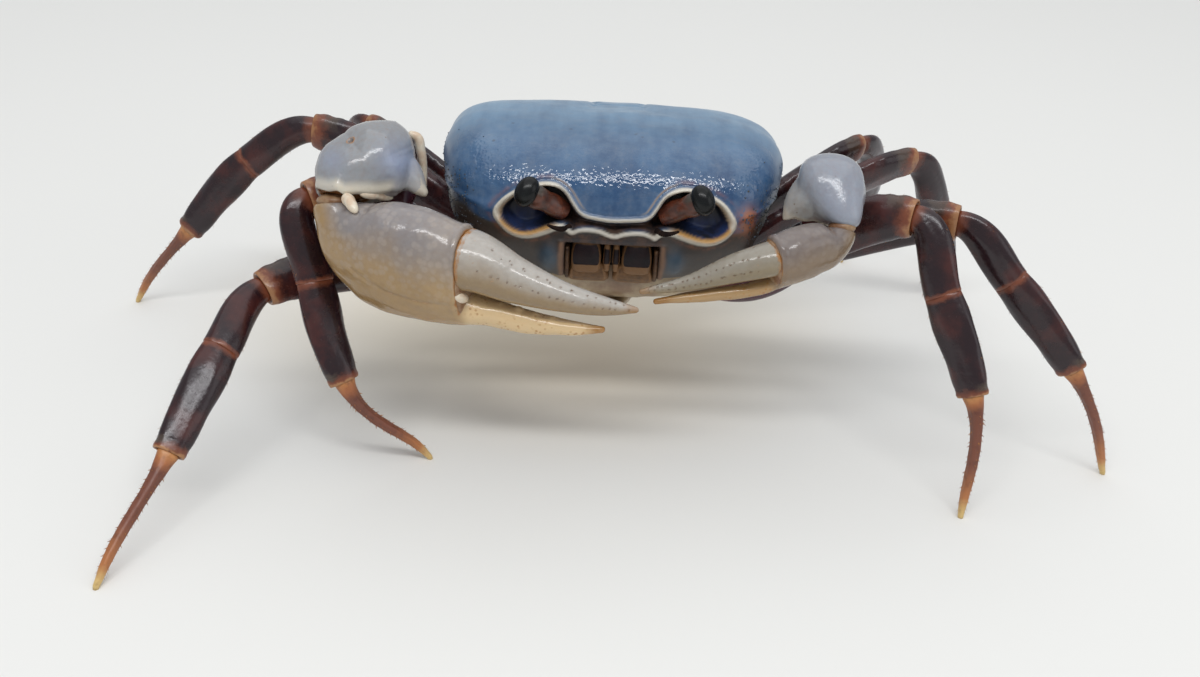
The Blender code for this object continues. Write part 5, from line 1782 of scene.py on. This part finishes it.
    def small_knobs(self, under: Surface) -> Surface:
        """White hard knobs at the joints, each from one pixel to another on the surface under them."""
        tree = search(under)
        in_view = -np.array(VIEW.forward)
        made = []
        for first, last, thick, sunk in self.knobs:
            a, b = VIEW.spot(tree, *first), VIEW.spot(tree, *last)
            way = unit(b - a)
            across = unit(np.cross(in_view, way))
            turn = np.stack((way, across, np.cross(way, across)), axis=1)
            half = (float(np.linalg.norm(b - a)) / 2, thick, thick)
            made.append(ball((a + b) / 2 - in_view * sunk, half, turn, 20, 28))
        made.append(spike(placed(self.strip), (0, 1, 0), 30, 20, 2.0).surface())
        return reduce(Surface.joined, made)


CLAWS = (
    Claw(
        side=Side.RIGHT,
        hip_way=(-0.9, -0.4, 0.1),
        elbow=(-19.8, -7.4, 25.2),
        elbow_way=(-0.35, 0.0, 0.94),
        wrist=(-24.6, -13.9, 25.1),
        wrist_way=(0.05, -0.5, -0.86),
        merus=(
            ((-10.6, -9.2, 14.3), 1.35, 1.35), ((-13.9, -10.85, 14.9), 1.5, 1.5), ((-17.2, -11.45, 16.9), 1.6, 1.7),
            ((-19.4, -11.1, 19.8), 1.6, 1.8), ((-20.1, -9.8, 22.9), 1.5, 1.6), ((-19.8, -7.4, 25.2), 1.5, 1.4),
        ),
        carpus=(
            ((-20.3, -8.2, 28.2), 1.9, 3.0), ((-21.8, -9.9, 27.8), 3.5, 4.3), ((-23.6, -12.1, 27.0), 2.8, 3.6),
        ),
        carpus_ends=((1.4, 1.5), (1.8, 2.0)),
        palm_start=(1.8, 1.7),
        palm=(
            ((-24.0, -14.8, 23.4), 2.3, 2.1), ((-22.8, -15.3, 22.2), 3.5, 2.7), ((-20.9, -16.1, 21.6), 4.8, 3.1),
            ((-16.7, -17.6, 21.35), 5.2, 3.2), ((-12.3, -19.0, 21.1), 4.5, 2.9),
        ),
        finger_way=(0.95, -0.31, 0.05),
        heel=(
            ((-18.5, -17.0, 19.7), 3.2, 2.6), ((-15.0, -18.1, 19.1), 2.5, 2.55), ((-12.8, -18.9, 18.3), 1.6, 2.05),
            ((-11.0, -19.35, 18.05), 1.25, 1.55), ((-8.8, -19.9, 17.8), 1.1, 1.15),
        ),
        fixed=(
            ((-14.2, -18.4, 18.2), 1.2, 1.5), ((-10.6, -19.5, 18.0), 1.2, 1.3), ((-7.0, -20.2, 17.6), 1.0, 1.0),
            ((-3.4, -20.7, 17.5), 0.66, 0.7), ((-0.4, -20.7, 17.5), 0.26, 0.26),
        ),
        finger=(
            ((-12.4, -19.0, 22.75), 2.7, 2.75), ((-8.4, -19.9, 21.6), 2.05, 1.95), ((-3.9, -20.8, 20.6), 1.3, 1.2),
            ((0.0, -20.7, 19.8), 0.75, 0.75), ((2.4, -20.5, 19.5), 0.26, 0.26),
        ),
        tooth=(-16.9, -11.6, 25.2),
        tooth_base=(-20.4, -9.4, 28.0),
        tooth_radius=2.15,
        cusps=((0.34, 0.7), (0.46, 1.0), (0.57, 0.8), (0.68, 0.9), (0.78, 0.6), (0.87, 0.5)),
        pit=(351, 141),
        knobs=(
            ((345, 194), (357, 213), 0.5, -0.2), ((344, 195), (354, 206), 0.56, -0.25),
            ((360, 194), (381, 196), 0.4, -0.15), ((372, 195), (393, 198), 0.38, -0.15),
            ((454, 296), (467, 299), 0.5, 0.1),
        ),
        crease=((352, 270), (385, 292), (420, 303), (456, 305)),
        swell=(
            ((-22.3, -10.7, 27.2), (4.2, 3.5, 3.3)), ((-23.6, -12.6, 26.2), (2.8, 2.3, 2.3)),
            ((-20.2, -10.4, 27.2), (2.4, 2.2, 2.5)),
        ),
        fill=(
            ((-22.2, -15.0, 23.6), (2.6, 2.0, 1.9)), ((-21.3, -15.6, 23.3), (2.6, 2.1, 2.6)),
            ((-21.9, -15.9, 23.8), (2.3, 2.2, 2.1)),
        ),
        ridge=(
            (318, 184), (328, 187), (337, 186), (345, 191), (356, 190), (380, 190), (392, 188), (402, 187), (414, 190),
            (424, 194),
        ),
        reach=(
            (-164, 0.93), (-90, 1.0), (-25, 0.99), (0, 0.95), (15, 0.9), (25, 0.9), (44, 1.01), (60, 1.08), (78, 1.02),
            (95, 0.975), (114, 0.87), (128, 0.8), (143, 0.85), (155, 0.925), (169, 0.965), (184, 0.97),
        ),
        strip=(
            ((-18.8, -7.6, 29.2), 0.3, 0.3), ((-18.2, -7.5, 28.9), 0.42, 0.4), ((-17.9, -7.5, 27.6), 0.44, 0.44),
            ((-17.7, -7.6, 25.8), 0.36, 0.4), ((-17.6, -7.9, 24.2), 0.22, 0.3),
        ),
    ),
    Claw(
        side=Side.LEFT,
        hip_way=(0.9, -0.4, 0.1),
        elbow=(18.7, -7.2, 25.1),
        elbow_way=(0.25, 0.1, 0.95),
        wrist=(20.3, -13.1, 24.7),
        wrist_way=(-0.15, -0.5, -0.86),
        merus=(
            ((10.6, -9.2, 16.0), 1.3, 1.3), ((13.5, -10.3, 16.9), 1.35, 1.35), ((16.2, -10.7, 18.9), 1.35, 1.4),
            ((17.9, -10.4, 21.0), 1.4, 1.4), ((18.7, -9.3, 23.1), 1.4, 1.35), ((18.7, -7.2, 25.1), 1.4, 1.3),
        ),
        carpus=(
            ((18.8, -7.7, 27.5), 1.6, 2.2), ((19.2, -9.2, 27.75), 2.2, 3.0), ((19.8, -11.1, 26.5), 2.1, 2.6),
        ),
        carpus_ends=((1.3, 1.3), (1.4, 1.5)),
        palm_start=(1.35, 1.3),
        palm=(
            ((19.7, -13.8, 23.6), 1.55, 1.5), ((18.9, -14.3, 23.35), 1.95, 1.8), ((17.8, -14.9, 23.4), 2.3, 1.95),
            ((16.0, -16.0, 23.25), 2.45, 2.0), ((14.0, -16.9, 22.8), 2.3, 1.8),
        ),
        finger_way=(-0.9, -0.4, -0.12),
        heel=(
            ((17.0, -15.6, 22.5), 1.7, 1.6), ((15.6, -16.25, 21.6), 1.15, 1.25), ((14.1, -16.75, 20.75), 0.65, 0.85),
            ((12.2, -17.1, 20.2), 0.6, 0.72),
        ),
        fixed=(
            ((15.6, -16.2, 21.7), 0.9, 0.9), ((13.6, -16.9, 20.5), 0.6, 0.8), ((10.8, -17.2, 19.85), 0.6, 0.65),
            ((7.3, -17.4, 19.3), 0.5, 0.55), ((4.0, -17.5, 18.7), 0.26, 0.26),
        ),
        finger=(
            ((14.0, -16.9, 23.3), 1.5, 1.65), ((10.7, -17.3, 22.3), 1.3, 1.2), ((7.1, -17.4, 20.8), 0.75, 0.7),
            ((2.7, -17.5, 19.6), 0.25, 0.25),
        ),
        tooth=(15.4, -11.0, 24.2),
        tooth_base=(17.7, -9.6, 26.7),
        tooth_radius=1.75,
        swell=(
            ((19.9, -10.2, 26.4), (2.75, 2.5, 3.0)), ((18.4, -10.0, 26.6), (1.9, 1.8, 2.3)),
            ((17.2, -10.6, 25.6), (1.6, 1.3, 1.8)),
        ),
        cusps=((0.4, 0.9), (0.5, 0.7), (0.6, 0.8), (0.7, 0.6), (0.8, 0.6)),
        cusp_size=0.28,
        # picks the small claw's darker finishes, painted shade
        size_word="_small",
        warm=0.0,
    ),
)


@dataclass
class Underside:
    """Breast plate with limb roots, and the folded tail, in the body frame."""

    middle: float = 1.4
    socket: float = -7.2
    rows: tuple = ((-5.5, 10.8, 7.2), (-6.6, 11.4, 7.7), (-8.6, 11.0, 7.3), (-9.7, 9.2, 5.8))
    tail: tuple = (
        (12.2, -5.9, 5.0, 0.6), (12.4, -7.5, 4.7, 0.6), (11.0, -9.7, 4.2, 0.6), (8.0, -10.6, 3.8, 0.55),
        (3.0, -10.7, 3.0, 0.5), (-2.0, -10.7, 2.0, 0.5), (-5.0, -10.6, 1.1, 0.45),
    )
    segments: tuple = (0.12, 0.26, 0.4, 0.54, 0.68, 0.83)

    def plate(self) -> Surface:
        """The breast plate with sutures between its segments."""
        rows = [((0.0, self.middle, z), depth, width) for z, width, depth in self.rows]
        surface = Loft(rows, (1, 0, 0), ((0, 0, -1), (0, 0, -1)), (FLAT, POINT), 40, 96, 3.0).surface()
        wide, y = np.abs(surface.points[:, 0]), surface.points[:, 1]
        cut = np.zeros(len(y))
        for place in (-4.6, -1.6, 1.4, 4.4):
            cut = np.maximum(cut, bell(y - place - 0.12 * wide, 0.3) * step(2.6, 3.6, wide))
        surface.push(-0.3 * cut)
        surface.points = place_body(surface.points)
        return surface

    def root(self, hip: Array, way: Array, side: Array, half_up: float, half_side: float) -> Surface:
        """The fixed root of one limb."""
        centre = place_body(np.array((0, self.middle, self.socket)))
        inner, end = hip + (centre - hip) * 0.42, hip - way * 0.15
        leave, arrive = (hip - inner) * 0.8, way * float(np.linalg.norm(hip - inner))
        rows = []
        for s in np.linspace(0, 1, 9):
            swell = 1.0 + 0.1 * math.sin(math.pi * s)
            rows.append((hermite(s, inner, leave, end, arrive), half_up * swell, half_side * swell))
        loft = Loft(rows, side, (None, way), (FLAT, SOCKET), 30, 28)
        loft.sculpt = lambda along, angle: 0.1 * bell(along - 0.93, 0.05) - 0.08 * bell(along - 0.55, 0.05)
        return loft.surface()

    def flap(self) -> Surface:
        """The narrow folded tail with its segments."""
        loft = spike([((0.0, y, z), thick, wide) for y, z, wide, thick in self.tail], (1, 0, 0), 110, 48, 3.0)
        loft.sculpt = lambda along, angle: (
            -0.12 * sum(bell(along - place, 0.008) for place in self.segments) + 0.05 * np.cos(angle * 2)
        )
        surface = loft.surface()
        surface.points = place_body(surface.points)
        return surface

    def build(self, shop: Workshop) -> None:
        """Adds the underside."""
        parts = [self.plate()]
        for leg in LEGS:
            joints = leg.joints()
            way, side = unit(joints[1] - joints[0]), leg.side_way(joints)
            parts.append(self.root(joints[0], way, side, 1.3 * leg.stout, 1.0 * leg.stout))
        for claw in CLAWS:
            hip, *sizes = claw.merus[0]
            parts.append(self.root(stand(hip), unit(claw.hip_way), np.array((0, 1.0, 0)), *sizes))
        shop.skin(reduce(Surface.joined, parts), "thorax", "under", "underside")
        shop.skin(self.flap(), "pleon", "under", "underside")


@dataclass
class Studio:
    """Pale floor, soft overhead light and the camera."""

    floor_half: float = 0.9
    paper: tuple = srgb(231, 231, 228)
    # warm: the painted warm tint of the shadow under the animal
    warm: tuple = srgb(233, 222, 200)
    oval_scale: tuple = (26.0, 38.0, 0.0)
    oval_shift: tuple = (0.16, -0.53, 0.0)
    lamps: tuple = (
        ("overhead", (20, 90, 420), (0, 0, 10), (640, 640), 0.9),
        ("brow", (0, -195, 365), (0, -10, 25), (430, 44), 0.76),
        ("side", (330, -120, 160), (0, 0, 15), (200, 200), 0.1),
    )
    sky: tuple = (0.95, 0.97, 1.0)
    sky_strength: float = 0.48

    def floor(self) -> None:
        """A wide pale floor with a painted warm tint of the shadow in an oval under the animal."""
        half = self.floor_half
        mesh = bpy.data.meshes.new("floor")
        mesh.from_pydata([(-half, -half, 0), (half, -half, 0), (half, half, 0), (-half, half, 0)], [], [[0, 1, 2, 3]])
        s = Shade("floor_paper")
        # The oval round the animal where the shadow's warm tint is painted
        inputs = {0: s.place(), 1: self.oval_scale, 2: self.oval_shift}
        oval = s.out("ShaderNodeVectorMath", "Vector", inputs, operation="MULTIPLY_ADD")
        reach = s.out("ShaderNodeVectorMath", "Value", {0: oval}, operation="LENGTH")
        tone = s.layers(
            self.paper,
            (s.noise(60.0, 2.0), tuple(0.985 * v for v in self.paper)),
            (reach.step(1.15, 0.2) * 0.8, self.warm),
        )
        mesh.materials.append(s.finish(tone, 0.75 + s.noise(9.0) * 0.1))
        thing("floor", mesh)

    def lamp(self, name: str, place: Sequence[float], aim: Sequence[float], size: tuple, power: float) -> None:
        """A rectangular soft light in millimetres and watts."""
        data = bpy.data.lights.new(name, "AREA")
        data.shape = "RECTANGLE"
        data.size, data.size_y = size[0] * MM, size[1] * MM
        data.energy = power
        lamp = thing(name, data)
        lamp.rotation_euler = (Vector(aim) - Vector(place)).to_track_quat("-Z", "Y").to_euler()
        lamp.location = Vector(place) * MM

    def build(self) -> None:
        """Adds floor, lights, world and camera."""
        self.floor()
        for lamp in self.lamps:
            self.lamp(*lamp)
        world = bpy.data.worlds.new("world")
        world.use_nodes = True
        back = world.node_tree.nodes["Background"]
        back.inputs["Color"].default_value = (*self.sky, 1.0)
        back.inputs["Strength"].default_value = self.sky_strength
        bpy.context.scene.world = world
        bpy.context.scene.view_settings.view_transform = "Standard"
        VIEW.make()


def main() -> None:
    """Builds the animal piece by piece, then its studio."""
    logging.basicConfig(level=logging.INFO, format="%(name)s %(message)s")
    shop = Workshop()
    beads = Sprouts(SproutShape.GRANULE, 0.1, 0.09)
    spines = Sprouts(SproutShape.SPINE, 0.36, 0.065, 6)
    hairs = Sprouts(SproutShape.SPINE, 0.32, 0.018, 4)
    shell = Carapace()
    shell.build(shop, beads)
    Face(shell).build(shop)
    Underside().build(shop)
    for claw in CLAWS:
        claw.build(shop)
    for leg in LEGS:
        leg.build(shop, spines, hairs)
    for name, sprouts, finish, slot in (
        ("shell_granules", beads, "granule", "shell_blue"),
        ("toe_spines", spines, "spine", "foot_amber"),
        ("leg_hairs", hairs, "spine", "foot_amber"),
    ):
        shop.add(name, sprouts.mesh(name, shop.finishes[finish]), finish, slot)
    Studio().build()


if __name__ == "__main__":
    main()
